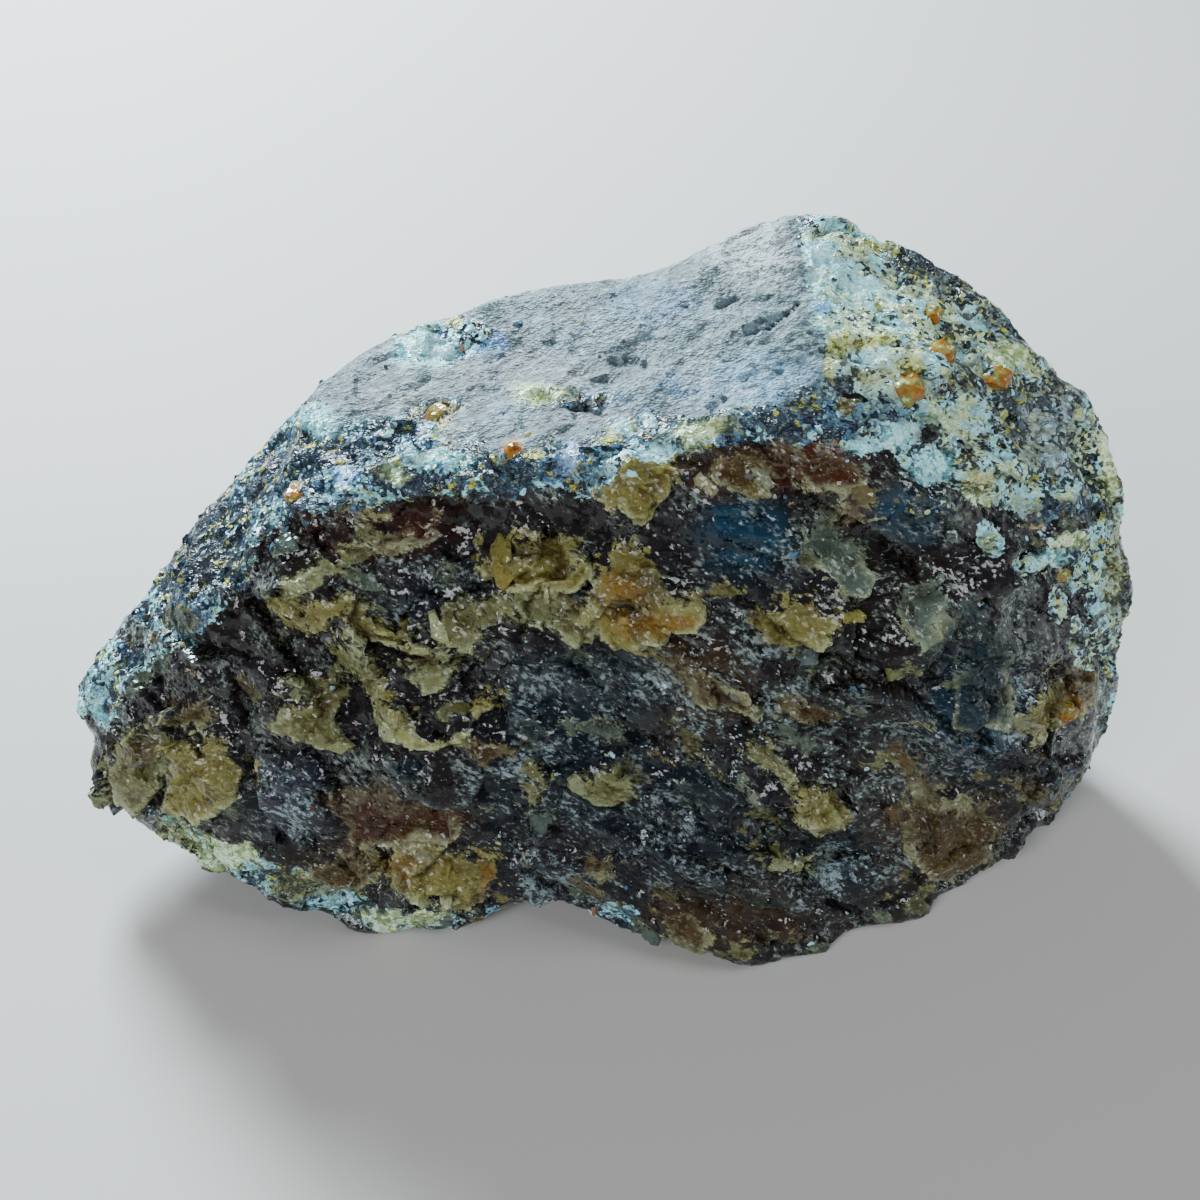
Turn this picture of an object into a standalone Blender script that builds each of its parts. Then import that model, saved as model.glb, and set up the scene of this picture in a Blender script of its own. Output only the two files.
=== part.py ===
"""A lump of raw amber, broken from a larger block: one closed solid.

The lump is blocked out from the corners of its main faces, then worn and broken
the way the real one is: a saddle in the crest, a notch in the nose, a hollow
between its two front feet, raised plates and pits, and a small flat it rests on.
X runs along its length, the broken front face looks along -Y, and Z is up.
Sizes below are in millimetres, and the finished mesh is in metres.
"""
import bmesh
import bpy
import numpy as np

MM = 0.001
SEED = 7

# Size of the mesh facets, and how far wear rounds the corners and then the surface.
FACET = 2.35
CORNER_WEAR = 0.45
SURFACE_WEAR = 0.22

# Corners of the main faces, each row read from left to right.
CREST = [
    (-30.4, 10, 49.2), (-20.3, 13, 54.8), (2, 18, 58.6), (12, 18, 63.4),
    (17, 18, 65), (22.5, 17, 64.8), (32.2, 15, 61.3), (38.8, 12, 57.6),
    (43.5, 10, 55), (48.2, 8, 50.8), (53, 5, 45.4), (55.3, 3, 39.6),
]
NOSE = [(-36.4, 8, 42.3), (-41.5, 5, 37.2), (-53.8, 0, 22.6), (-58.8, -4.5, 18.2), (-56, -10, 12)]
BROW = [
    (-38, -8, 40.3), (-28, -11, 48.5), (-15.3, -12, 52.4), (8.8, -13, 57.4),
    (17.6, -13, 58.9), (25, -11.5, 56.4), (32, -11, 51.8), (45, -6.5, 40.5),
]
BELLY = [
    (-50, -14.5, 20), (-38, -21.5, 22), (-20, -24.5, 20), (0, -24.5, 25),
    (15, -25.5, 25), (28, -22.5, 25), (42, -14.5, 25), (53, -6, 22),
]
FEET = [
    (-55.8, -13, 7.6), (-42.4, -19.8, 6), (-32.2, -23, 0.2), (-21.8, -23, -1),
    (10.5, -27.8, -1), (17, -28.6, -1), (22, -26.2, -1), (35.3, -21.7, -1),
    (41.5, -18, -0.6), (51.8, -11.8, -0.4), (57.2, -6.2, 3.5),
]
RIGHT_END = [(57.4, 0, 29.5), (58.8, -2, 21), (59.2, -4, 7), (57.4, 4, 14)]
BACK = [(-46, 8, 16), (-30, 18.5, 26), (-8, 25.5, 32), (16, 28.5, 36), (38, 24.5, 32), (52, 12, 26)]
HEEL = [(-38, 10, 4), (-22, 17, 2), (6, 23, 1.5), (34, 22, 2.5), (50, 11, 3)]
SOLE = [(-22, 4, -1), (-10, 12, -1), (18, 14, -1), (30, 6, -1)]
MAIN_CORNERS = CREST + NOSE + BROW + BELLY + FEET + RIGHT_END + BACK + HEEL + SOLE

# Broad hollows and swellings: middle, half-widths, and how far the middle moves.
WORN_FORMS = {
    "saddle_in_the_crest": ((4.5, 20, 59), (17, 15, 10), (0, -0.8, -3.2)),
    "dip_left_of_the_saddle": ((-12, 16, 56), (11, 12, 8), (0, 0, -1.3)),
    "hollow_in_the_top": ((-6, 4, 54), (22, 12, 9), (0, 0, -1.6)),
    "shoulder_left": ((-33, 4, 45), (9, 12, 7), (0.3, 0, -0.9)),
    "notch_in_the_nose": ((-58, -9, 14.6), (6, 8, 2.6), (2.2, 0.6, 0)),
    "undercut_below_the_brow": ((-16, -14, 45), (17, 7, 5.5), (0, 3.0, 0)),
    "undercut_right_of_the_boss": ((24, -16, 44), (9, 8, 7), (0, 2.2, -0.4)),
    "hollow_between_the_feet": ((-3, -26, 7), (11, 12, 17), (0, 3.4, 0)),
    "arch_between_the_feet": ((-4.5, -26, 0), (15, 10, 6), (0, 0.8, 3.0)),
    "left_foot_swell": ((-20, -24, 7), (8, 7, 6), (0, -1.6, 0)),
    "right_foot_swell": ((12, -27, 3), (7, 6, 5), (0.4, -1.0, 0)),
    "hollow_above_left_foot": ((-34, -24, 14), (10, 8, 6), (0, 2.0, 0)),
    "hollow_right_of_middle": ((30, -24, 20), (8, 8, 10), (0, 1.8, 0)),
    "dip_in_the_right_end": ((58, -2, 19), (6, 9, 4), (-1.5, 0, 0)),
    "dip_in_the_back": ((-2, 29, 22), (20, 10, 13), (0, -2.4, 0)),
    "swell_low_on_the_back": ((24, 27, 12), (12, 9, 8), (0, 1.6, 0)),
}

# Raised plates of clear amber on the front: middle in X and Z, half-length,
# half-height, slope of the long side in degrees, and how far the plate stands out.
FRONT_PLATES = {
    "streak_below_the_brow": ((-27.5, 43), 6.5, 2.0, 33, 1.2),
    "long_ledge": ((-25, 38), 9, 2.4, -14, 1.7),
    "ledge_end": ((-16.5, 35), 3.6, 2.8, -30, 1.5),
    "middle_plate": ((-13, 38.5), 3.6, 2.6, 25, 1.4),
    "golden_step": ((-6.6, 44), 6.0, 2.9, -8, 1.7),
    "lower_step": ((-5, 39), 5.5, 2.1, -10, 1.3),
    "golden_plate": ((4, 42.5), 6.3, 4.8, -12, 2.1),
    "brow_boss": ((2.5, 53), 3.6, 3.8, 40, 1.8),
    "middle_streak": ((10.6, 36), 5.8, 2.7, -45, 1.6),
    "belly_column": ((-22, 34), 2.6, 5.4, 8, 1.4),
    "belly_plate": ((-28.5, 29.5), 4.4, 3.8, 0, 1.5),
    "low_band": ((-16.5, 31), 6.2, 2.2, 5, 1.4),
    "big_left_plate": ((-39.5, 21.5), 4.8, 4.2, 20, 1.9),
    "nose_plate": ((-48.5, 18.5), 3.6, 5.0, -10, 1.4),
    "left_foot_front": ((-17.5, 10.5), 6.2, 4.0, 0, 1.5),
    "low_middle_plate": ((0, 25), 3.8, 2.0, -5, 1.3),
    "right_plate": ((18.5, 40), 4.4, 3.2, 15, 1.6),
    "grey_plate": ((30, 39.5), 3.2, 4.6, 10, 1.3),
    "teal_facet": ((37.5, 31), 3.4, 7.0, 12, 1.4),
    "yellow_corner": ((44, 24), 2.6, 2.9, 0, 1.4),
    "low_right_ridge": ((17, 24), 9.0, 2.0, -50, 1.4),
    "right_foot_ridge": ((33, 15), 6.0, 2.2, -40, 1.3),
}
PLATE_EDGE = 0.30

# Pits and lumps of the crust on the top: middle in X and Y, half-widths, rise.
TOP_LUMPS = {
    "peak_knob": ((20, 13), 6.5, 5, 0.9),
    "crack_lip": ((15.5, 1.5), 4.5, 2.2, 0.9),
    "crust_swell": ((-24, 2), 9, 7, 0.8),
    "gnarled_corner": ((29, 0), 7, 6, 1.3),
    "bead_lump": ((38, 3), 3.6, 3.2, 1.3),
    "rim_bead_left": ((-29, -4), 4.4, 3.4, 1.1),
    "rim_bead_middle": ((-8, -10), 6, 3.2, 1.2),
    "rim_bead_right": ((12, -11), 6, 3.4, 1.0),
    "pit_middle": ((2, 0), 3, 2.4, -1.1),
    "pit_left": ((-10.5, 6), 3.4, 2.6, -1.2),
    "pit_right": ((43, 0), 3.6, 3, -1.2),
}

# Conchoidal facets left where the lump broke: spacing, slope and step per side.
FRONT_FACETS = {"spacing": 7.0, "slope": 0.17, "step": 0.7, "stretch": 0.55}
BACK_FACETS = {"spacing": 11.0, "slope": 0.13, "step": 0.6, "stretch": 0.9}
CRUST_FACETS = {"spacing": 6.0, "slope": 0.09, "step": 0.25, "stretch": 0.8}
GRAIN_SLOPE_DEG = -33
FACETS_LIE_LOWER = 0.2
FACET_BLEND = 0.45

# The underside stands a little clear of the ground, except at the spots that it rests
# on: middle in X and Y, half-widths. What lies below the ground there is worn away.
REST_SPOTS = {
    "middle_flat": ((3, 2), 17, 9),
    "left_foot": ((-24, -17), 8, 6),
    "right_foot": ((24, -20), 20, 7),
}
UNDERSIDE_CLEARANCE = 1.1
UNDERSIDE_FACETS = {"spacing": 7.0, "slope": 0.08, "step": 0.3, "stretch": 0.9}


def clear_scene():
    for old in list(bpy.data.objects):
        bpy.data.objects.remove(old, do_unlink=True)


def amber_material():
    material = bpy.data.materials.new("raw_amber")
    material.use_nodes = True
    shader = material.node_tree.nodes["Principled BSDF"]
    shader.inputs["Base Color"].default_value = (0.085, 0.068, 0.042, 1.0)
    shader.inputs["Roughness"].default_value = 0.35
    shader.inputs["Metallic"].default_value = 0.0
    return material


def block_out():
    """The main faces as the hull of their corners."""
    bm = bmesh.new()
    for corner in MAIN_CORNERS:
        bm.verts.new(corner)
    bmesh.ops.convex_hull(bm, input=bm.verts)
    buried = [corner for corner in bm.verts if not corner.link_faces]
    bmesh.ops.delete(bm, geom=buried, context="VERTS")
    mesh = bpy.data.meshes.new("block_out")
    bm.to_mesh(mesh)
    bm.free()
    return mesh


def even_facets(mesh):
    """The same block in facets of one size, ready to be worn and broken."""
    block = bpy.data.objects.new("block_out", mesh)
    bpy.context.collection.objects.link(block)
    remesh = block.modifiers.new("even_facets", "REMESH")
    remesh.mode = "VOXEL"
    remesh.voxel_size = FACET
    evaluated = block.evaluated_get(bpy.context.evaluated_depsgraph_get())
    even = bpy.data.meshes.new_from_object(evaluated)
    bpy.data.objects.remove(block)
    return even


def read_points(mesh):
    points = np.empty(len(mesh.vertices) * 3)
    mesh.vertices.foreach_get("co", points)
    return points.reshape(-1, 3)


def write_points(mesh, points):
    mesh.vertices.foreach_set("co", points.ravel())
    mesh.update()


def read_normals(mesh):
    normals = np.empty(len(mesh.vertices) * 3)
    mesh.vertices.foreach_get("normal", normals)
    return normals.reshape(-1, 3)


def wear(mesh, share):
    """Each point moves towards the middle of its neighbours."""
    points = read_points(mesh)
    edges = np.empty(len(mesh.edges) * 2, dtype=int)
    mesh.edges.foreach_get("vertices", edges)
    first, second = edges.reshape(-1, 2).T
    count = np.bincount(np.concatenate([first, second]), minlength=len(points))[:, None]
    total = np.zeros_like(points)
    np.add.at(total, first, points[second])
    np.add.at(total, second, points[first])
    write_points(mesh, points + share * (total / count - points))


def soft_fall(distance):
    """1 in the middle of a form, 0 from its edge outwards."""
    return np.clip(1 - distance ** 2, 0, 1) ** 2


def smooth_step(value):
    value = np.clip(value, 0, 1)
    return value * value * (3 - 2 * value)


def worn_forms(points):
    """Shift of each point by the broad hollows and swellings."""
    shift = np.zeros_like(points)
    for middle, half_widths, move in WORN_FORMS.values():
        distance = np.linalg.norm((points - middle) / half_widths, axis=1)
        shift += soft_fall(distance)[:, None] * np.array(move)
    return shift


def turned(across, up, slope_deg):
    angle = np.radians(slope_deg)
    along = across * np.cos(angle) + up * np.sin(angle)
    beside = -across * np.sin(angle) + up * np.cos(angle)
    return along, beside


def front_plates(points, facing_front):
    """Height of the raised plates, flat on top with a steep edge."""
    height = np.zeros(len(points))
    for (across, up), half_length, half_height, slope_deg, rise in FRONT_PLATES.values():
        along, beside = turned(points[:, 0] - across, points[:, 2] - up, slope_deg)
        distance = np.hypot(along / half_length, beside / half_height)
        height += rise * smooth_step((1 - distance) / PLATE_EDGE)
    return height * facing_front


def top_lumps(points, facing_up):
    """Height of the crust's lumps, less the depth of its pits."""
    height = np.zeros(len(points))
    for (across, back), half_x, half_y, rise in TOP_LUMPS.values():
        distance = np.hypot((points[:, 0] - across) / half_x, (points[:, 1] - back) / half_y)
        height += rise * soft_fall(distance)
    return height * facing_up


def broken_facets(points, facets, random):
    """Height of flat, tilted facets, each around one of a scatter of middles."""
    along, beside = turned(points[:, 0], points[:, 2], GRAIN_SLOPE_DEG)
    spread = np.stack([along * facets["stretch"], points[:, 1], beside], axis=1)
    low = spread.min(axis=0)
    high = spread.max(axis=0)
    count = int(np.prod((high - low) / facets["spacing"]))
    middles = random.uniform(low, high, (count, 3))
    tilts = random.normal(0, facets["slope"], (count, 3))
    steps = random.normal(-FACETS_LIE_LOWER, facets["step"], count)
    away = spread[:, None, :] - middles[None, :, :]
    gaps = np.linalg.norm(away, axis=2)
    shares = np.exp((gaps.min(axis=1, keepdims=True) - gaps) / FACET_BLEND)
    shares /= shares.sum(axis=1, keepdims=True)
    heights = steps + np.einsum("ijk,jk->ij", away, tilts)
    return (shares * heights).sum(axis=1)


def rest_share(points):
    """1 on the spots that the lump rests on, 0 away from them."""
    share = np.zeros(len(points))
    for (across, back), half_x, half_y in REST_SPOTS.values():
        distance = np.hypot((points[:, 0] - across) / half_x, (points[:, 1] - back) / half_y)
        share = np.maximum(share, smooth_step((1.25 - distance) / 0.5))
    return share


def level_and_centre(points):
    """Wear the underside level, and bring the middle of the box over the origin."""
    points[:, 2] = np.maximum(points[:, 2], 0)
    low = points.min(axis=0)
    high = points.max(axis=0)
    points[:, :2] -= (low[:2] + high[:2]) / 2
    return points


def weather_and_break(mesh):
    random = np.random.RandomState(SEED)
    points = read_points(mesh)
    normals = read_normals(mesh)
    facing_front = smooth_step((-normals[:, 1] - 0.15) / 0.4)
    facing_up = smooth_step((normals[:, 2] - 0.25) / 0.4)
    facing_down = smooth_step((-normals[:, 2] - 0.4) / 0.4)
    elsewhere = np.clip(1 - facing_front - facing_up, 0, 1) * (1 - facing_down)
    height = front_plates(points, facing_front) + top_lumps(points, facing_up)
    height += facing_front * broken_facets(points, FRONT_FACETS, random)
    height += elsewhere * broken_facets(points, BACK_FACETS, random)
    height += facing_up * (1 - facing_front) * broken_facets(points, CRUST_FACETS, random)
    hollow = broken_facets(points, UNDERSIDE_FACETS, random) - UNDERSIDE_CLEARANCE
    height += facing_down * (1 - rest_share(points)) * hollow
    write_points(mesh, points + worn_forms(points) + normals * height[:, None])


def make_raw_amber():
    mesh = even_facets(block_out())
    wear(mesh, CORNER_WEAR)
    weather_and_break(mesh)
    wear(mesh, SURFACE_WEAR)
    write_points(mesh, level_and_centre(read_points(mesh)) * MM)
    mesh.name = "raw_amber"
    amber = bpy.data.objects.new("raw_amber", mesh)
    mesh.materials.append(amber_material())
    bpy.context.collection.objects.link(amber)
    return amber


clear_scene()
make_raw_amber()
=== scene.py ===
"""Raw amber: the finished lump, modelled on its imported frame.

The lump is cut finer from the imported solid, broken and weathered in mesh, and given
its finishes, dark see-through amber and opaque crust. Flakes, grains and beads lie on it.
Lengths are in millimetres, apart from the properties, which are in metres. Outlines and
spots are laid out in the photograph's own pixels, in its frame of 1200 by 1200.
"""
import math

import bmesh
import bpy
import numpy as np
from bpy.props import FloatProperty, FloatVectorProperty, IntProperty, PointerProperty
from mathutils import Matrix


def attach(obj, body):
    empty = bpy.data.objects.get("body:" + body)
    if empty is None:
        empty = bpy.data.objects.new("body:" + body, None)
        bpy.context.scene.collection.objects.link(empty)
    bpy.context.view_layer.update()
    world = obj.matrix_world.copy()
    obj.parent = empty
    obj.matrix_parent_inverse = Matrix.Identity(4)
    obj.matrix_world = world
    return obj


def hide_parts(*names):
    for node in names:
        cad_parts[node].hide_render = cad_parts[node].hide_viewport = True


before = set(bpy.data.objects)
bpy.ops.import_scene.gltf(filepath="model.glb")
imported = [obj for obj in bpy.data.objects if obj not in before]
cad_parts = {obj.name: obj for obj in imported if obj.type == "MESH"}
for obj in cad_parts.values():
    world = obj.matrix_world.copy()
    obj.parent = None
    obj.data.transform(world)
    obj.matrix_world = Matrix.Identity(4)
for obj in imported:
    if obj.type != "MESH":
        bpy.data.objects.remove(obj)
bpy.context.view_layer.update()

bl_info = {
    "name": "Raw amber",
    "version": (1, 0, 0),
    "blender": (4, 5, 0),
    "location": "View3D > Sidebar > Raw amber",
    "description": "Dresses a packed lump of raw amber with its crust, flakes, grains and beads",
    "category": "Object",
}

NODE = "raw_amber"
BODY = "root"
LUMP = "amber_lump"
MM = 1000.0
SEED = 11
CELL_STEPS = (73856093, 19349663, 83492791)
SEED_STEP = 2654435761
SHUFFLES = (0xFF51AFD7ED558CCD, 0xC4CEB9FE1A85EC53)

# The photograph's viewpoint, which also carries its outlines onto the lump.
CAMERA_AIM = np.array((-0.6, -0.9, 28.0))
CAMERA_DISTANCE = 165.0
CAMERA_ELEVATION = math.radians(42.0)
FOCAL_PIXELS = 1550.0
PHOTO_SIDE = 1200
SENSOR_WIDTH = 36.0
LOOK = np.array((0.0, math.cos(CAMERA_ELEVATION), -math.sin(CAMERA_ELEVATION)))
LOOK_UP = np.array((0.0, math.sin(CAMERA_ELEVATION), math.cos(CAMERA_ELEVATION)))
CAMERA_PLACE = CAMERA_AIM - CAMERA_DISTANCE * LOOK
PIXELS_PER_MM = FOCAL_PIXELS / CAMERA_DISTANCE

# The amber splits along lines that fall to the right across the front.
GRAIN_ANGLE = math.radians(-33.0)
GRAIN = np.array((math.cos(GRAIN_ANGLE), 0.0, math.sin(GRAIN_ANGLE)))
ACROSS_GRAIN = np.array((-math.sin(GRAIN_ANGLE), 0.0, math.cos(GRAIN_ANGLE)))

# Areas of the surface. Where they pass the lump's own outline they carry on out of sight.
CRUST_AREA = [
    (250, 330), (296, 400), (345, 420), (420, 404), (450, 428), (500, 450), (545, 452),
    (590, 440), (640, 418), (700, 410), (760, 400), (800, 386), (838, 366), (832, 330),
    (806, 300), (800, 215), (790, 120), (300, 120),
]
RIM_AREA = [
    (60, 700), (90, 640), (150, 560), (200, 480), (250, 400), (296, 390), (345, 408),
    (420, 392), (450, 418), (500, 440), (545, 446), (590, 434), (640, 412), (700, 404),
    (760, 395), (800, 380), (850, 380), (905, 420), (930, 470), (880, 452), (835, 440),
    (760, 436), (705, 446), (665, 448), (625, 468), (600, 492), (520, 498), (420, 496),
    (350, 500), (300, 516), (250, 548), (232, 600), (190, 640), (130, 668), (100, 720),
]
WARM_AREA = [
    (800, 120), (800, 215), (806, 300), (832, 330), (838, 366), (800, 386), (850, 392),
    (905, 425), (930, 470), (965, 500), (1010, 515), (1050, 545), (1075, 575), (1100, 610),
    (1104, 690), (1096, 770), (1160, 800), (1200, 500), (1100, 200),
]

# Ragged plates of clear amber on the broken front: finish, rise and outline.
PLATES = {
    "streak_below_the_brow": ("olive", 0.5, [
        (280, 605), (292, 582), (320, 560), (350, 542), (374, 530), (368, 547), (336, 566),
        (305, 594)]),
    "long_ledge": ("gold", 0.9, [
        (270, 612), (300, 601), (332, 598), (356, 610), (384, 622), (412, 638), (440, 650),
        (424, 656), (392, 650), (356, 638), (334, 622), (306, 632), (284, 624)]),
    "ledge_lump": ("olive", 0.8, [
        (408, 652), (436, 648), (452, 664), (444, 686), (424, 692), (410, 676)]),
    "small_plate_left": ("olive", 0.5, [
        (273, 680), (288, 668), (304, 672), (301, 684), (282, 690)]),
    "belly_column": ("olive", 0.6, [
        (344, 640), (368, 650), (388, 668), (380, 694), (390, 716), (400, 736), (382, 740),
        (370, 716), (354, 690)]),
    "belly_plate": ("olive", 0.9, [
        (275, 702), (300, 698), (312, 680), (326, 678), (338, 702), (334, 724), (350, 740),
        (346, 750), (318, 744), (294, 738), (276, 730)]),
    "low_band": ("gold", 0.8, [
        (376, 690), (396, 706), (416, 726), (436, 736), (456, 728), (472, 704), (492, 694),
        (490, 708), (476, 726), (456, 742), (432, 750), (408, 744), (390, 732), (378, 714)]),
    "nose_plate": ("olive", 0.8, [
        (100, 756), (120, 734), (142, 716), (168, 722), (172, 744), (164, 772), (152, 800),
        (138, 816), (118, 804), (104, 786)]),
    "nose_upper_plate": ("brown", 0.4, [
        (140, 722), (168, 708), (200, 702), (216, 706), (204, 724), (172, 730)]),
    "big_left_plate": ("gold", 1.0, [
        (172, 746), (192, 738), (216, 740), (238, 748), (252, 764), (240, 786), (226, 802),
        (204, 816), (180, 820), (164, 810), (170, 784), (176, 764)]),
    "middle_plate": ("olive", 0.8, [
        (432, 640), (440, 620), (460, 610), (482, 612), (500, 604), (498, 622), (482, 640),
        (462, 656), (444, 652)]),
    "golden_step": ("gold", 0.9, [
        (478, 560), (496, 547), (522, 545), (548, 548), (572, 560), (586, 574), (590, 592),
        (560, 598), (528, 598), (504, 592), (488, 580)]),
    "step_shelf": ("olive", 0.6, [
        (500, 612), (530, 607), (562, 612), (586, 622), (602, 640), (590, 652), (560, 642),
        (530, 636), (506, 628)]),
    "golden_plate": ("gold", 1.2, [
        (582, 602), (588, 576), (600, 556), (620, 547), (642, 552), (656, 566), (668, 588),
        (692, 598), (702, 614), (690, 630), (668, 636), (650, 642), (626, 652), (604, 646),
        (590, 626)]),
    "brow_boss": ("gold", 0.8, [
        (600, 496), (614, 478), (638, 462), (662, 454), (676, 450), (670, 476), (664, 500),
        (654, 520), (636, 526), (614, 514)]),
    "boss_shoulder": ("brown", 0.4, [
        (704, 472), (716, 455), (742, 444), (766, 450), (776, 470), (766, 492), (744, 490),
        (724, 482)]),
    "red_glow": ("red", 0.2, [
        (774, 450), (810, 454), (850, 468), (868, 490), (842, 502), (800, 492), (780, 476)]),
    "red_glow_low": ("red", 0.1, [(835, 505), (860, 505), (870, 525), (850, 535), (832, 525)]),
    "red_glow_left": ("red", 0.2, [
        (370, 540), (400, 522), (440, 505), (450, 520), (430, 540), (395, 548)]),
    "tiny_plate_left": ("gold", 0.5, [(368, 516), (380, 506), (402, 507), (405, 516), (386, 522)]),
    "tiny_plate_right": ("olive", 0.5, [
        (865, 506), (880, 498), (898, 505), (891, 518), (871, 516)]),
    "misty_plate": ("misty", 0.6, [
        (804, 520), (830, 514), (852, 534), (872, 555), (882, 584), (860, 602), (834, 590),
        (814, 570), (800, 548)]),
    "right_plate": ("gold", 0.8, [
        (763, 622), (780, 608), (802, 603), (826, 605), (843, 615), (840, 636), (820, 650),
        (798, 658), (780, 650), (768, 636)]),
    "middle_streak": ("brown", 0.8, [
        (668, 640), (690, 644), (702, 664), (722, 680), (746, 690), (762, 706), (764, 722),
        (744, 716), (718, 706), (700, 696), (684, 676)]),
    "grey_plate": ("misty", 0.6, [
        (904, 592), (920, 577), (942, 585), (952, 600), (946, 630), (930, 656), (914, 650),
        (904, 626)]),
    "teal_facet": ("teal", 0.4, [
        (948, 600), (976, 608), (996, 640), (1006, 680), (1012, 722), (990, 738), (964, 730),
        (954, 700), (950, 650)]),
    "yellow_corner": ("gold", 0.7, [
        (1024, 736), (1030, 706), (1046, 698), (1062, 704), (1056, 730), (1040, 746),
        (1028, 750)]),
    "corner_brown": ("brown", 0.4, [
        (1056, 680), (1080, 668), (1100, 676), (1098, 704), (1078, 716), (1060, 706)]),
    "low_middle_plate": ("olive", 0.7, [
        (572, 786), (590, 772), (612, 767), (634, 775), (646, 790), (626, 799), (600, 801),
        (580, 796)]),
    "low_small_plate": ("olive", 0.5, [
        (524, 802), (540, 782), (551, 785), (546, 802), (530, 813)]),
    "low_square_plate": ("brown", 0.5, [
        (590, 880), (605, 867), (622, 872), (618, 886), (604, 896)]),
    "right_foot_plate": ("brown", 0.7, [
        (646, 910), (670, 903), (692, 908), (706, 925), (722, 945), (700, 953), (674, 946),
        (655, 930)]),
    "diagonal_upper": ("olive", 0.6, [
        (748, 734), (770, 758), (792, 776), (800, 800), (788, 796), (766, 768), (750, 748)]),
    "diagonal_lower": ("gold", 0.7, [
        (778, 796), (800, 808), (816, 796), (838, 802), (836, 826), (812, 836), (798, 826)]),
    "low_right_plate": ("olive", 0.6, [
        (754, 854), (776, 850), (800, 864), (822, 870), (802, 886), (780, 880), (762, 868)]),
    "far_right_streak": ("brown", 0.5, [
        (904, 764), (922, 775), (946, 790), (966, 800), (960, 813), (934, 800), (914, 790)]),
    "brown_corner": ("brown", 0.3, [
        (900, 802), (930, 790), (960, 802), (992, 812), (1000, 832), (976, 870), (948, 886),
        (920, 870), (906, 842)]),
    "left_foot_gold": ("gold", 0.7, [
        (378, 866), (396, 852), (422, 850), (450, 858), (476, 854), (492, 850), (496, 872),
        (486, 896), (464, 911), (440, 915), (414, 905), (394, 890)]),
    "left_foot_brown": ("brown", 0.4, [
        (300, 868), (336, 850), (376, 850), (374, 888), (350, 902), (322, 900), (300, 888)]),
    "left_foot_red": ("red", 0.2, [
        (330, 806), (380, 800), (440, 806), (470, 820), (450, 848), (400, 848), (350, 846)]),
}
FINISHES = ("gold", "olive", "brown", "red", "misty", "teal")

# Pale rinds of crumbs along the foot.
RINDS = {
    "chin": [
        (150, 806), (196, 830), (232, 846), (268, 856), (302, 880), (292, 900), (258, 892),
        (226, 876), (196, 858), (160, 836)],
    "foot": [
        (292, 886), (340, 898), (390, 912), (440, 918), (470, 912), (436, 936), (380, 934),
        (320, 922), (286, 904)],
    "arch": [
        (488, 908), (530, 906), (580, 908), (630, 914), (634, 926), (580, 924), (530, 922),
        (490, 920)],
}
RIND_SOFTNESS = 1.4

# Blue-black amber between the plates; the other dark amber is brown.
COOL_AREAS = {
    "recess": [
        (486, 700), (520, 672), (600, 660), (650, 690), (700, 735), (760, 800), (790, 850),
        (740, 880), (650, 905), (560, 912), (505, 900), (478, 850), (474, 770)],
    "blue_hollow": [(700, 505), (740, 484), (792, 500), (806, 545), (780, 592), (730, 588)],
    "facet_foot": [(940, 640), (1000, 680), (1026, 740), (1004, 790), (950, 770), (930, 700)],
    "left_glitter": [(244, 752), (326, 748), (346, 792), (326, 836), (268, 836), (240, 796)],
    "under_ledge": [(380, 600), (440, 560), (474, 590), (440, 622), (404, 630)],
    "low_right": [(770, 850), (850, 820), (900, 850), (860, 900), (790, 905)],
}

# Glow inside the plates and dark spots in them: colour, middle and half-widths.
GLOWS = {
    "plate_glow": ("glow", (652, 617), (44, 13)),
    "plate_glow_upper": ("glow", (622, 590), (26, 14)),
    "plate_dark_spot": ("dark_brown", (628, 611), (15, 6)),
    "plate_tail_glow": ("brown", (668, 580), (24, 12)),
    "step_glow": ("gold", (540, 583), (32, 11)),
    "step_dark": ("brown", (520, 560), (16, 8)),
    "foot_glow": ("glow", (482, 880), (9, 32)),
    "foot_glow_left": ("glow", (398, 868), (16, 10)),
    "belly_glow": ("brown", (338, 712), (18, 12)),
    "red_belly": ("red", (425, 828), (34, 12)),
    "nose_glow": ("brown", (138, 752), (16, 26)),
    "corner_glow": ("glow", (1072, 706), (16, 10)),
    "right_plate_glow": ("gold", (790, 625), (18, 12)),
    "boss_glow": ("gold", (640, 500), (18, 16)),
    "shoulder_spot": ("gold", (762, 478), (12, 12)),
}

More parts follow.
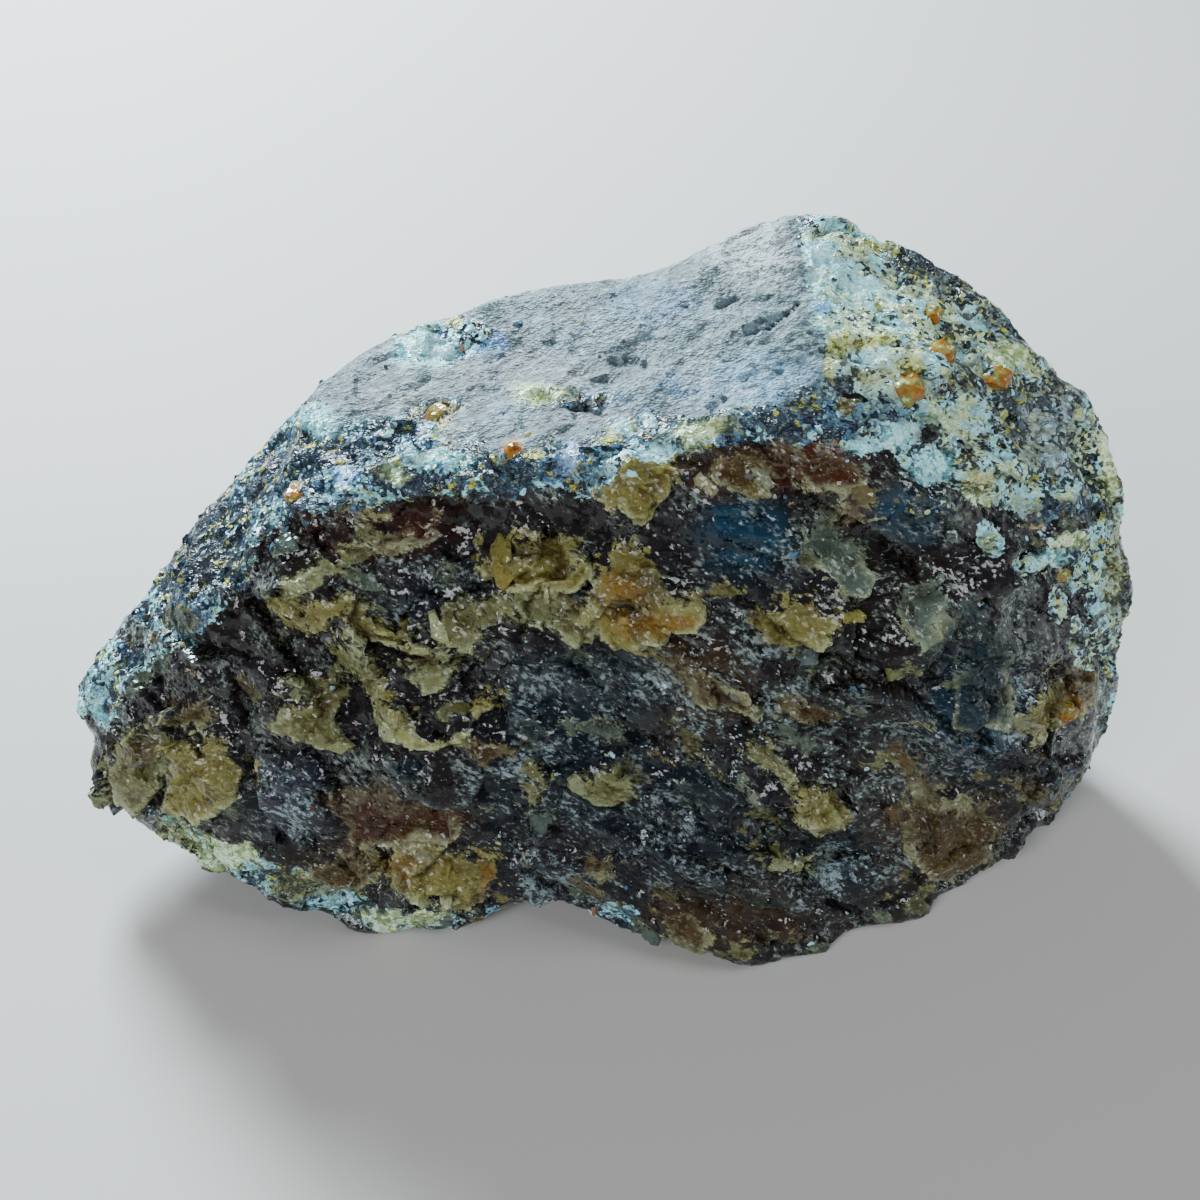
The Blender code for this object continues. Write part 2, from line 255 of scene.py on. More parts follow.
# Tints of the crust and its rim: colour, middle and half-widths.
CRUST_TINTS = {
    "blue_back": ("crust_blue", (655, 302), (44, 24)),
    "blue_front": ("ice_blue", (768, 372), (54, 24)),
    "blue_front_left": ("crust_blue", (690, 386), (40, 16)),
    "pale_crest": ("crust_light", (748, 250), (46, 34)),
    "grey_crest": ("crust", (740, 318), (40, 14)),
    "grey_left": ("crust_shade", (390, 384), (90, 30)),
    "grey_facet_pale": ("crust_light", (1050, 416), (18, 22)),
    "violet_grey": ("crust_violet", (520, 372), (70, 16)),
    "violet_grey_low": ("crust_violet", (600, 420), (40, 12)),
    "green_white": ("ice_white", (424, 352), (34, 14)),
    "green_bloom": ("fleck_yellow", (452, 322), (14, 8)),
    "ice_top": ("ice_white", (410, 320), (30, 14)),
    "blue_spot": ("blue", (492, 342), (16, 10)),
    "blue_spot_low": ("navy", (502, 362), (14, 6)),
    "cream_front": ("cream", (540, 396), (36, 9)),
    "brown_front": ("umber", (585, 400), (20, 7)),
    "amber_spot_left": ("glow", (434, 410), (20, 8)),
    "amber_spot_front": ("glow", (514, 447), (14, 7)),
    "white_left": ("ice_white", (318, 422), (22, 14)),
    "yellow_left": ("fleck_yellow", (272, 430), (14, 10)),
    "blue_left": ("blue", (346, 474), (20, 12)),
    "navy_left": ("navy", (360, 450), (46, 10)),
    "navy_left_low": ("navy", (420, 478), (36, 9)),
    "ice_middle": ("ice_white", (440, 455), (34, 10)),
    "navy_middle": ("navy", (505, 474), (26, 12)),
    "green_middle": ("cream", (396, 474), (16, 10)),
    "blue_glint": ("blue_white", (574, 462), (13, 18)),
    "navy_glint": ("navy", (600, 478), (16, 14)),
    "green_glint": ("fleck_yellow", (612, 440), (12, 10)),
    "ice_right": ("ice_white", (626, 428), (12, 8)),
    "orange_left": ("glow", (292, 492), (8, 12)),
    "cream_brow": ("cream", (704, 424), (34, 14)),
    "ice_brow": ("ice_white", (668, 446), (24, 9)),
    "umber_brow": ("umber", (655, 432), (16, 7)),
    "slope_slate": ("navy", (196, 560), (20, 54)),
    "slope_slate_low": ("navy", (120, 610), (16, 30)),
    "slope_gold": ("olive", (176, 618), (22, 18)),
    "nose_gold": ("brown", (140, 640), (18, 16)),
    "nose_white": ("ice_white", (92, 712), (12, 20)),
    "boundary_ice": ("ice_white", (818, 268), (14, 26)),
    "boundary_blue": ("blue", (822, 302), (10, 12)),
    "yellow_top": ("fleck_yellow", (872, 248), (18, 8)),
    "ice_upper": ("ice_white", (866, 286), (30, 12)),
    "yellow_edge": ("fleck_yellow", (840, 346), (8, 28)),
    "yellow_lines": ("fleck_yellow", (868, 336), (28, 8)),
    "mint_ledge": ("ice_white", (872, 356), (24, 9)),
    "ledge_olive": ("olive", (876, 378), (24, 9)),
    "nugget_ground": ("fleck_yellow", (906, 366), (16, 18)),
    "orange_upper": ("fleck_yellow", (944, 338), (16, 9)),
    "navy_nook": ("navy", (976, 356), (9, 16)),
    "mint_chunk": ("cream", (1008, 350), (24, 13)),
    "orange_chunk": ("fleck_yellow", (1004, 366), (16, 7)),
    "brown_middle": ("umber", (956, 386), (26, 14)),
    "slate_lace": ("navy", (862, 418), (60, 18)),
    "maroon_lace": ("dark_red", (918, 440), (14, 12)),
    "ice_lumps": ("ice_white", (932, 470), (24, 16)),
    "ice_lumps_left": ("ice_white", (890, 438), (16, 14)),
    "dark_top": ("crust_dark", (940, 268), (44, 14)),
    "dark_top_right": ("crust_dark", (1010, 318), (34, 12)),
    "grey_facet": ("crust_violet", (1048, 430), (34, 44)),
    "yellow_patch": ("gold", (984, 480), (20, 14)),
    "cream_patch": ("cream", (972, 500), (22, 12)),
    "orange_patch": ("glow", (1022, 520), (20, 8)),
    "slate_strip": ("navy", (1068, 508), (46, 13)),
    "cream_side": ("cream", (1112, 460), (9, 46)),
    "cream_side_low": ("cream", (1062, 540), (30, 9)),
    "ice_side": ("ice_white", (1052, 562), (20, 14)),
    "red_side": ("glow", (1068, 577), (12, 9)),
    "chin_cream": ("cream", (210, 850), (60, 26)),
    "chin_olive": ("olive", (180, 830), (30, 18)),
    "foot_olive": ("olive", (310, 892), (50, 16)),
    "foot_cream": ("cream", (400, 922), (50, 12)),
    "yellow_side": ("olive", (1118, 560), (8, 60)),
}

# The left slope, where the crumbs are darker: middle and half-widths.
SHADED_SLOPE = ((180, 560), (60, 110))

# Spots where the crust is worn through to crumbs: middle and half-widths.
WORN_SPOTS = {
    "worn_left": ((440, 340), (54, 26)),
    "worn_front": ((560, 398), (52, 10)),
    "worn_amber": ((434, 410), (26, 10)),
    "worn_back": ((660, 240), (26, 8)),
}

# Crumbs that lie past the edge of the warm crust, and dark amber that opens in it.
CRUMB_ISLANDS = {
    "island_side": ((1040, 560), (34, 14)),
    "island_low_side": ((1064, 604), (15, 20)),
    "island_far": ((1088, 650), (9, 26)),
    "island_front": ((930, 506), (22, 7)),
    "island_ledge": ((985, 540), (12, 20)),
    "island_brow": ((846, 446), (16, 5)),
    "island_small": ((904, 480), (10, 6)),
}
OPENINGS = {
    "opening_left": ((856, 404), (16, 9)),
    "opening_middle": ((922, 438), (12, 11)),
    "opening_right": ((1004, 520), (14, 11)),
    "opening_front": ((890, 462), (14, 8)),
    "opening_side": ((1062, 524), (26, 7)),
    "opening_ledge": ((962, 452), (9, 7)),
}

# Spots of dark amber without small plates: middle and half-widths.
QUIET_SPOTS = {
    # Painted shade: the strip under the brow's overhang is kept dark, without small plates.
    "band": ((460, 532), (150, 30)),
    "teal": ((980, 690), (44, 66)),
    "hollow": ((742, 530), (48, 50)),
    "right_dark": ((920, 560), (60, 34)),
    "recess_low": ((620, 850), (96, 44)),
    "recess_high": ((560, 700), (70, 26)),
    "glitter": ((290, 795), (50, 44)),
    "below_plate": ((640, 680), (40, 26)),
    "far_right": ((1040, 620), (30, 60)),
}

# Tints of the dark amber: colour, middle and half-widths.
DARK_TINTS = {
    "hollow_blue": ("deep_blue", (742, 532), (40, 42)),
    "brow_red": ("red", (806, 468), (62, 26)),
    "brow_red_low": ("red", (856, 520), (26, 16)),
    "brow_brown": ("umber", (724, 472), (50, 24)),
    "left_brow_red": ("dark_red", (390, 530), (90, 24)),
    "left_violet": ("dark_violet", (210, 690), (90, 60)),
    "glitter_violet": ("violet_blue", (290, 795), (44, 40)),
    "foot_red": ("dark_red", (410, 825), (74, 30)),
    "foot_brown": ("umber", (330, 872), (70, 30)),
    "right_blue": ("deep_blue", (912, 512), (44, 24)),
    "right_violet": ("dark_violet", (1034, 640), (40, 60)),
    "facet_blue": ("deep_blue", (978, 700), (34, 60)),
    "low_right_umber": ("umber", (930, 830), (66, 44)),
    "foot_right_umber": ("umber", (722, 920), (84, 30)),
    "middle_umber": ("umber", (700, 690), (56, 56)),
    "recess_blue": ("recess_blue", (600, 690), (90, 40)),
    "recess_violet": ("dark_violet", (560, 860), (80, 40)),
}

# How many of the crumbs are light: middle, half-widths and share. Elsewhere it is one third.
LIGHT_CRUMBS = {
    "slope": ((190, 540), (60, 80), 0.02),
    "brow_left": ((290, 446), (50, 36), 0.20),
    "brow_middle": ((480, 470), (110, 26), 0.18),
    "brow_right": ((640, 434), (60, 22), 0.40),
    "worn_left": ((440, 340), (54, 26), 0.60),
    "top": ((850, 270), (60, 70), 0.70),
    "ledge": ((890, 340), (80, 50), 0.74),
    "middle": ((900, 420), (90, 40), 0.64),
    "side": ((1000, 500), (70, 60), 0.70),
    "right": ((1080, 560), (50, 70), 0.60),
    "nose": ((110, 700), (34, 50), 0.44),
    "grey_facet": ((1056, 432), (30, 46), 0.70),
    "slate": ((1072, 512), (44, 14), 0.12),
    "crest": ((1000, 320), (60, 40), 0.50),
    "chin": ((240, 866), (90, 30), 0.44),
    "foot": ((400, 920), (120, 16), 0.44),
}

# Crowds of tiny white glints, painted into the amber's colour: middle, half-widths and share.
GLINTS = {
    "left_low": ((290, 795), (40, 36), 0.8),
    "hollow": ((752, 548), (12, 15), 1.0),
    "below_plate": ((645, 690), (24, 16), 0.8),
    "streak": ((735, 665), (22, 20), 0.9),
    "facet_side": ((1026, 694), (10, 26), 1.0),
    "teal_foot": ((1000, 738), (26, 6), 0.9),
    "recess_low": ((560, 880), (60, 20), 0.4),
    "recess_high": ((520, 760), (40, 30), 0.5),
    "low_right": ((830, 870), (50, 26), 0.6),
    "middle": ((740, 690), (80, 70), 0.5),
    # Painted shade: fewer glints and veils in the strip under the brow's overhang.
    "band": ((460, 528), (130, 22), -1.0),
    "right_dark": ((960, 560), (46, 30), -1.0),
    "left_dark": ((190, 660), (50, 30), -0.7),
    "belly_dark": ((330, 690), (30, 40), -0.7),
    "right": ((880, 740), (80, 60), 0.4),
    "foot": ((430, 890), (50, 24), 0.7),
    "chin": ((270, 880), (90, 26), 0.9),
    "foot_rind": ((400, 922), (100, 12), 0.9),
}

# Cracks in the crust, as lines of points.
CRACKS = {
    "long_crack": [(754, 332), (766, 327), (775, 320), (786, 311), (799, 301)],
    "short_crack": [(716, 308), (726, 303), (738, 299)],
}
CRACK_HALF_WIDTH = 0.35
CRACK_DEPTH = 0.9

# Dark pits in the crust: middle and half-widths.
PITS = {
    "pit_middle": ((622, 358), (17, 5)),
    "pit_front": ((598, 380), (18, 7)),
    "pit_left": ((450, 352), (9, 5)),
}
PIT_DEPTH = 0.5

# Beads of orange and yellow amber: middle and radius.
BEADS = {
    "bead_front": ((916, 376), 20),
    "bead_upper": ((948, 340), 17),
    "bead_right": ((1008, 378), 15),
    "bead_small": ((936, 310), 11),
    "bead_side": ((1076, 710), 13),
    "bead_low_side": ((1067, 576), 10),
    "bead_left_rim": ((291, 492), 10),
    "bead_rim_front": ((436, 407), 13),
    "bead_rim_middle": ((512, 446), 10),
}
BEAD_FLATNESS = 0.7
BEAD_SINK = 0.55

# How the surface is broken up: size of a facet, its slope, the steps between facets.
FRACTURE = ((5.4, 0.26, 0.44), (2.7, 0.22, 0.20), (1.3, 0.14, 0.04))
PLATE_EDGE = 0.35
OUTLINE_SOFTNESS = 1.2
# A plate fades out above and is crisp below: its softness at its top and at its foot.
PLATE_SOFTNESS = (3.6, 0.8)
AREA_SOFTNESS = 3.0
OUTLINE_WARP = ((6.0, 9.0), (1.7, 7.0), (0.6, 3.0))

# The facets are even at the left end and drawn out at the right: where this changes, in
# millimetres along the lump, and how much each is drawn along the grain.
DRAWN_OUT_FROM = (-12.0, 14.0)
EVEN_STRETCH = 1.35
LONG_STRETCH = 2.9

# The relief is sunk so that it ends up about the solid, fades out near the floor, is
# smaller where the photograph looks along the skin, and moves the skin along its averaged
# normals. A hollow is judged against the averaged relief.
RELIEF_SINK = 0.25
FLOOR_FADE = (0.4, 3.0)
GRAZING_FADE = (0.05, 0.45)
NORMAL_ROUNDS = 6
HOLLOW_ROUNDS = 14
HOLLOW_DEPTH = 1.2

# How far out of sight the photograph's layout fades into the made-up one.
SEEN_FADE = (-0.12, 0.06)

# What the lump's mesh keeps for its material, besides colours.
KEPT_LAYERS = (
    "crust", "covered", "warm", "plate", "light", "tinted", "glints", "hollow", "swell", "patch")

# The skin is halved where it faces the viewpoint more than this, and creased past this angle.
FINE_SKIN_FACING = 0.02
SHARP_EDGE = math.radians(38.0)

# How the scratches of the crust run, turned about the upright.
CRUST_GRAIN_TURN = math.radians(-48.0)

# Small plates strewn between the large ones: the share of the surface that each takes.
STREWN = {"gold": 0.02, "olive": 0.09, "misty": 0.10, "brown": 0.14, "teal": 0.05}

# Chips of amber: smallest and largest half-width, thickness, and corners of each.
FLAKES = {
    "small_flakes": ((0.14, 0.36), (0.10, 0.20), 6),
    "large_flakes": ((0.6, 1.3), (0.22, 0.45), 11),
}

# Sizes of the facets and crumbs that the material draws on the lump's own.
SHARD_SIZE = 1.4
CHIP_SIZE = 0.32
LUMP_SIZE = 1.5
CRUMB_SIZE = 0.38
FINE_SIZE = 0.52
GRIT_SIZE = 0.7
AMBER_IOR = 1.54

# The shares of light crumbs and of painted glints where no spot gives them, and behind.
LIGHT_SHARE = 0.34
LIGHT_SHARE_BEHIND = 0.45
GLINT_SHARE_BEHIND = 0.25

# Soft lights: name, place in metres, power in watts, side in metres and colour.
LIGHTS = (
    ("window", (-0.20, 0.42, 0.36), 13.5, 0.17, (0.82, 0.96, 1.0)),
    ("room", (-0.35, -0.50, 0.42), 4.0, 0.28, (0.96, 0.98, 1.0)),
    ("side", (0.55, -0.15, 0.40), 2.6, 0.24, (0.92, 0.98, 1.0)),
)
LIGHTS_AIM_HEIGHT = 0.03
SKY_COLOUR = (0.90, 0.94, 1.0, 1.0)
SKY_STRENGTH = 0.18
FLOOR_COLOUR = (0.44, 0.425, 0.41, 1.0)
FLOOR_HALF_SIDE = 3.0


def hashed(cells, seed, count):
    """Repeatable random numbers from 0 to 1, several for each whole-number cell."""
    with np.errstate(over="ignore"):
        whole = cells.astype(np.int64).astype(np.uint64)
        key = np.uint64(0)
        for axis, step in enumerate(CELL_STEPS):
            key = key ^ whole[:, axis] * np.uint64(step)
        key += np.uint64(seed * SEED_STEP + 97)
        numbers = []
        for _ in range(count):
            key ^= key >> np.uint64(33)
            key *= np.uint64(SHUFFLES[0])
            key ^= key >> np.uint64(29)
            key *= np.uint64(SHUFFLES[1])
            key ^= key >> np.uint64(32)
            numbers.append((key >> np.uint64(11)).astype(float) / float(1 << 53))
    return np.stack(numbers, axis=1)


def ramp(values, low, high):
    """A smooth climb from 0 at low to 1 at high."""
    share = np.clip((values - low) / (high - low), 0.0, 1.0)
    return share * share * (3.0 - 2.0 * share)


def smooth_noise(spots, size, seed):
    """Smooth noise from -1 to 1 with lumps of about this size."""
    scaled = spots / size
    base = np.floor(scaled)
    share = scaled - base
    share = share * share * (3.0 - 2.0 * share)
    total = np.zeros(len(spots))
    for corner in np.ndindex(2, 2, 2):
        step = np.array(corner)
        weight = np.where(step == 1, share, 1.0 - share).prod(axis=1)
        total += weight * hashed(base + step, seed, 1)[:, 0]
    return total * 2.0 - 1.0


def rough_noise(spots, size, seed, octaves=3):
    """Noise from about -1 to 1 with finer lumps on the coarse ones."""
    total = np.zeros(len(spots))
    for octave in range(octaves):
        total += smooth_noise(spots, size / 2 ** octave, seed + octave) / 2 ** octave
    return total / 1.6


def nearest_cells(spots, size, seed):
    """For each spot the random numbers of its nearest cell, the way to that cell's middle,
    and how near the next cell is, from 0 at the border."""
    scaled = spots / size
    base = np.floor(scaled)
    best = np.full(len(spots), np.inf)
    second = np.full(len(spots), np.inf)
    offset = np.zeros((len(spots), 3))
    numbers = np.zeros((len(spots), 4))
    for corner in np.ndindex(3, 3, 3):
        cell = base + np.array(corner) - 1.0
        random = hashed(cell, seed, 7)
        away = scaled - (cell + random[:, :3])
        distance = (away ** 2).sum(axis=1)
        nearer = distance < best
        second = np.where(nearer, best, np.minimum(second, distance))
        best = np.where(nearer, distance, best)
        offset[nearer] = away[nearer]
        numbers[nearer] = random[nearer, 3:]
    return numbers, offset * size, (np.sqrt(second) - np.sqrt(best)) * size


def tilted_facets(spots, size, slope, step, seed):
    """The height of flat facets that tilt each their own way, with steps between them."""
    numbers, offset, _ = nearest_cells(spots, size, seed)
    tilt = (numbers[:, :3] - 0.5) * 2.0 * slope
    return (offset * tilt).sum(axis=1) + (numbers[:, 3] - 0.5) * 2.0 * step


def along_grain(spots, stretch):
    """The same spots in the grain's own directions, drawn together along it."""
    return np.stack([spots @ GRAIN / stretch, spots @ ACROSS_GRAIN, spots[:, 1]], axis=1)


def photo_place(spots):
    """Where each spot shows in the photograph, in its pixels."""
    away = spots - CAMERA_PLACE
    depth = away @ LOOK
    half = PHOTO_SIDE / 2
    return np.stack([
        half + FOCAL_PIXELS * away[:, 0] / depth,
        half - FOCAL_PIXELS * (away @ LOOK_UP) / depth,
    ], axis=1)


def facing_photo(spots, normals):
    """From -1 to 1, how squarely each spot faces the photograph's viewpoint."""
    away = CAMERA_PLACE - spots
    away /= np.linalg.norm(away, axis=1)[:, None]
    return (away * normals).sum(axis=1)


def depth_inside(places, outline):
    """How far each place lies inside an outline, in pixels, and below 0 outside it."""
    corners = np.array(outline, float)
    nearest = np.full(len(places), np.inf)
    inside = np.zeros(len(places), bool)
    for start, end in zip(corners, np.roll(corners, -1, axis=0)):
        run = end - start
        offset = places - start
        share = np.clip(offset @ run / (run @ run), 0.0, 1.0)
        gap = offset - share[:, None] * run
        nearest = np.minimum(nearest, (gap ** 2).sum(axis=1))
        spans = (start[1] > places[:, 1]) != (end[1] > places[:, 1])
        height = run[1] if run[1] else 1.0
        crossing = start[0] + (places[:, 1] - start[1]) / height * run[0]
        inside ^= spans & (places[:, 0] < crossing)
    return np.where(inside, 1.0, -1.0) * np.sqrt(nearest)


def distance_to_line(places, line):
    """How far each place is from a line of points, in pixels."""
    points = np.array(line, float)
    nearest = np.full(len(places), np.inf)
    for start, end in zip(points[:-1], points[1:]):
        run = end - start
        share = np.clip((places - start) @ run / (run @ run), 0.0, 1.0)
        gap = places - start - share[:, None] * run
        nearest = np.minimum(nearest, np.sqrt((gap ** 2).sum(axis=1)))
    return nearest


def soft_share(depth_mm, softness=OUTLINE_SOFTNESS):
    """A depth inside an outline as a share: one half on the outline, 1 well inside."""
    return np.clip(0.5 + depth_mm / (2.0 * softness), 0.0, 1.0)


def warped_places(spots, strength=1.0):
    """The spots' places in the photograph, shaken so that outlines come out ragged."""
    places = photo_place(spots)
    for turn, (size, reach) in enumerate(OUTLINE_WARP):
        for axis in range(2):
            shake = smooth_noise(spots, size, SEED + 31 + 2 * turn + axis)
            places[:, axis] += strength * reach * shake
    return places


def in_spot(places, middle, half):
    """A share that is 1 in the middle of an oval spot and fades to 0 past its edge."""
    away = np.linalg.norm((places - np.array(middle)) / np.array(half), axis=1)
    return 1.0 - ramp(away, 0.55, 1.35)


def strewn_plates(spots):
    """Small ragged plates drawn out along the grain: a share for each finish, a rise, and
    how dim each is."""
    numbers, _, border = nearest_cells(along_grain(spots, 2.4), 3.1, SEED + 9)
    ragged = border - 0.75 - 0.55 * smooth_noise(spots, 1.1, SEED + 13)
    shares = {finish: np.zeros(len(spots)) for finish in FINISHES}
    low = 0.0
    for finish, share in STREWN.items():
        chosen = (numbers[:, 0] >= low) & (numbers[:, 0] < low + share)
        shares[finish] = np.where(chosen, soft_share(ragged), 0.0)
        low += share
    rise = np.where(numbers[:, 0] < low, 0.3 * ramp(ragged, -0.2, 0.3), 0.0)
    return shares, rise, 0.25 + 0.5 * numbers[:, 1]


def painted_plates(places):
    """The listed plates: a share for each finish and a rise in millimetres, with the share of
    pale painted highlight along their feet and of painted shade towards their tops."""
    shares = {finish: np.zeros(len(places)) for finish in FINISHES}
    rise, lip, shade = (np.zeros(len(places)) for _ in range(3))
    for finish, height, outline in PLATES.values():
        depth = depth_inside(places, outline) / PIXELS_PER_MM
        tops = [place[1] for place in outline]
        down = np.clip((places[:, 1] - min(tops)) / (max(tops) - min(tops)), 0.0, 1.0)
        above, below = PLATE_SOFTNESS
        inside = soft_share(depth, above + (below - above) * down)
        shares[finish] = np.maximum(shares[finish], inside)
        plate = height * ramp(depth, -0.5 * PLATE_EDGE, PLATE_EDGE) * (0.35 + 0.65 * down)
        rise = np.maximum(rise, plate)
        # Painted highlight at each plate's foot, and painted shade towards its top.
        lip = np.maximum(lip, ramp(depth, -1.0, 0.1) * ramp(depth, 1.1, 0.3) * ramp(down, 0.3, 0.7))
        shade = np.maximum(shade, ramp(depth, 0.0, 1.2) * (1.0 - down))
    return shares, rise, lip, shade


def lay_out(spots, normals):
    """Shares of crust, rim, warm crust and each amber finish over the surface, and the
    rise of the plates in millimetres. What the photograph doesn't show is made up alike."""
    places = warped_places(spots)
    seen = ramp(facing_photo(spots, normals), *SEEN_FADE)
    hidden = hidden_areas(spots, normals)
    layers = {}
    for name, area in (("crust", CRUST_AREA), ("rim", RIM_AREA), ("warm", WARM_AREA)):
        share = soft_share(depth_inside(places, area) / PIXELS_PER_MM, AREA_SOFTNESS)
        layers[name] = share * seen + hidden[name] * (1.0 - seen)
    layers["warm"] = np.maximum(layers["warm"], in_any_spot(places, CRUMB_ISLANDS) * seen)
    for middle, half in OPENINGS.values():
        for name in ("rim", "warm"):
            layers[name] = layers[name] * (1.0 - in_spot(places, middle, half) * seen)
    worn = in_any_spot(places, WORN_SPOTS) * seen
    for outline in RINDS.values():
        rind = soft_share(depth_inside(places, outline) / PIXELS_PER_MM, RIND_SOFTNESS)
        worn = np.maximum(worn, rind * seen)
    layers["rim"] = np.maximum(layers["rim"], worn)
    layers["crust"] = layers["crust"] * (1.0 - worn)
    cool = np.zeros(len(spots))
    for area in COOL_AREAS.values():
        share = soft_share(depth_inside(places, area) / PIXELS_PER_MM, AREA_SOFTNESS)
        cool = np.maximum(cool, share)
    unseen = 1.0 - seen
    cool_behind = ramp(rough_noise(spots, 12.0, SEED + 17), -0.1, 0.3)
    layers["cool"] = cool * seen + cool_behind * unseen
    layers["glints"] = spotted(places, GLINTS, 0.0) * seen + GLINT_SHARE_BEHIND * unseen
    light = spotted(places, LIGHT_CRUMBS, LIGHT_SHARE) * seen + LIGHT_SHARE_BEHIND * unseen
    layers["light"] = light + 0.42 * rough_noise(spots, 4.2, SEED + 27)
    layers["swell"] = 0.5 + 0.36 * rough_noise(spots, 2.6, SEED + 28)
    layers["patch"] = 0.5 + 0.30 * rough_noise(spots, 2.4, SEED + 29)
    layers["tinted"] = in_any_spot(places, CRUST_TINTS) * seen
    painted, rise, lip, shade = painted_plates(places)
    strewn, strewn_rise, dim = strewn_plates(spots)
    taken = np.clip(sum(painted.values()) * 1.5, 0.0, 1.0)
    taken = np.maximum(taken, in_any_spot(places, QUIET_SPOTS))
    room = 1.0 - taken * seen
    for finish in FINISHES:
        layers[finish] = np.maximum(painted[finish] * seen, strewn[finish] * room)
    layers["lip"] = lip * seen
    layers["shade"] = shade * seen
    layers["dim"] = dim * room
    return layers, np.maximum(rise * seen, strewn_rise * room)


def in_any_spot(places, spots):
    """A share that is 1 in the middle of any of several oval spots."""
    return np.max([in_spot(places, *spot[-2:]) for spot in spots.values()], axis=0)


def spotted(places, spots, base):
    """A share that is its own in each of several oval spots, and the base elsewhere."""
    values = np.full(len(places), base)
    for middle, half, share in spots.values():
        values += (share - values) * in_spot(places, middle, half)
    return values


def hidden_areas(spots, normals):
    """The areas where the photograph doesn't look: more crust above, broken amber below."""
    crust = rough_noise(spots, 13.0, SEED + 3) + 0.35 * normals[:, 2] + 0.12
    warm = rough_noise(spots, 16.0, SEED + 5) + 0.02 * (spots[:, 0] - 14.0)
    near_crust = soft_share(crust * 9.0 + 2.0, AREA_SOFTNESS)
    return {
        "crust": soft_share(crust * 9.0, AREA_SOFTNESS),
        "rim": soft_share((0.16 - np.abs(crust)) * 14.0, AREA_SOFTNESS),
        "warm": soft_share(warm * 9.0, AREA_SOFTNESS) * near_crust,
    }


def mixed(under, over, share):
    """One colour for each spot laid over another by a share."""
    return under + (np.array(over) - under) * share[:, None]


def spots_laid_on(under, places, spots, colours, share):
    """Colours with the named colour of each of several oval spots laid on by a share."""
    for name, middle, half in spots.values():
        under = mixed(under, getattr(colours, name), share * in_spot(places, middle, half))
    return under


def painted_colours(spots, normals, layers, colours):
    """The colours of the dark amber, its veils, its plates and their edges, and the crust. The
    plates carry painted highlight at their feet and edges and painted shade towards their tops.
    """
    places = warped_places(spots)
    seen = ramp(facing_photo(spots, normals), *SEEN_FADE)
    weights = np.stack([layers[finish] ** 3 + 1e-6 for finish in FINISHES], axis=1)
    weights /= weights.sum(axis=1)[:, None]
    plate = weights @ np.array([tuple(getattr(colours, finish)) for finish in FINISHES])
    plate = spots_laid_on(plate, places, GLOWS, colours, 0.85 * seen)
    # Painted shade, darker towards the plates' tops.
    plate = mixed(plate, plate * np.array(colours.deep_and_shade), 0.75 * layers["shade"])
    # Painted highlight: a pale strip along the plates' feet.
    plate = mixed(plate, colours.plate_edge_highlight, 0.55 * layers["lip"])
    plate = plate * (1.0 - layers["dim"])[:, None]
    # A lighter copy of the plate colour, for the painted highlight along the plate edges.
    edge = mixed(plate * 1.6, colours.plate_edge_highlight, 0.5 - 0.4 * layers["teal"])
    broad = ramp(rough_noise(spots, 7.0, SEED + 21), -0.25, 0.45)
    dark = mixed(np.tile(colours.dark_brown, (len(spots), 1)), colours.dark_violet, broad)
    dark = mixed(dark, colours.dark_blue, layers["cool"])
    dark = spots_laid_on(dark, places, DARK_TINTS, colours, 0.8 * seen)
    veil = mixed(np.tile(colours.veil, (len(spots), 1)), colours.haze, layers["cool"])
    # Painted glints lighten the veils where the glints crowd.
    veil = mixed(veil, colours.glint, 0.5 * np.maximum(layers["glints"], 0.0))
    mottled = rough_noise(spots, 4.5, SEED + 25, 4)
    crust = np.tile(np.array(colours.crust), (len(spots), 1))
    bluish = ramp(rough_noise(spots, 8.0, SEED + 23), 0.0, 0.5)
    crust = mixed(crust, colours.crust_blue, 0.8 * bluish)
    crust = crust * (0.94 + 0.85 * mottled)[:, None]
    bare = 1.0 - layers["crust"]
    crust = mixed(crust, colours.rim_grey, layers["rim"] * bare)
    crust = mixed(crust, colours.warm, layers["warm"] * bare)
    crust = spots_laid_on(crust, places, CRUST_TINTS, colours, 0.9 * seen)
    crust = mixed(crust, crust * 0.55, in_spot(places, *SHADED_SLOPE) * seen)
    return {
        "plate_colour": plate,
        "edge_colour": np.clip(edge, 0.0, 1.0),
        "dark_colour": dark,
        "veil_colour": veil,
        "crust_colour": np.clip(crust, 0.0, 1.0),
    }


def fracture_relief(spots):
    """The broken amber's facets: even on the left, drawn out along the grain on the right."""
    drawn = ramp(spots[:, 0], *DRAWN_OUT_FROM)
    relief = np.zeros(len(spots))
    for number, (size, slope, step) in enumerate(FRACTURE):
        seed = SEED + 41 + number
        even = tilted_facets(along_grain(spots, EVEN_STRETCH), size, slope, step, seed)
        long = tilted_facets(along_grain(spots, LONG_STRETCH), size, slope, step, seed + 10)
        relief += even * (1.0 - drawn) + long * drawn
    return relief


def crust_relief(spots):
    """The crust's matte skin: low swells, small ledges, fine grit and short scratches."""
    scratches = np.stack([
        spots[:, 0] * 0.78 - spots[:, 1] * 0.62,
        (spots[:, 0] * 0.62 + spots[:, 1] * 0.78) * 0.55,
        spots[:, 2],
    ], axis=1)
    relief = 0.34 * rough_noise(spots, 4.2, SEED + 61)
    relief += tilted_facets(scratches, 2.4, 0.10, 0.07, SEED + 63)
    relief += tilted_facets(scratches, 1.1, 0.12, 0.05, SEED + 69)
    return relief + 0.10 * smooth_noise(scratches, 0.9, SEED + 67)


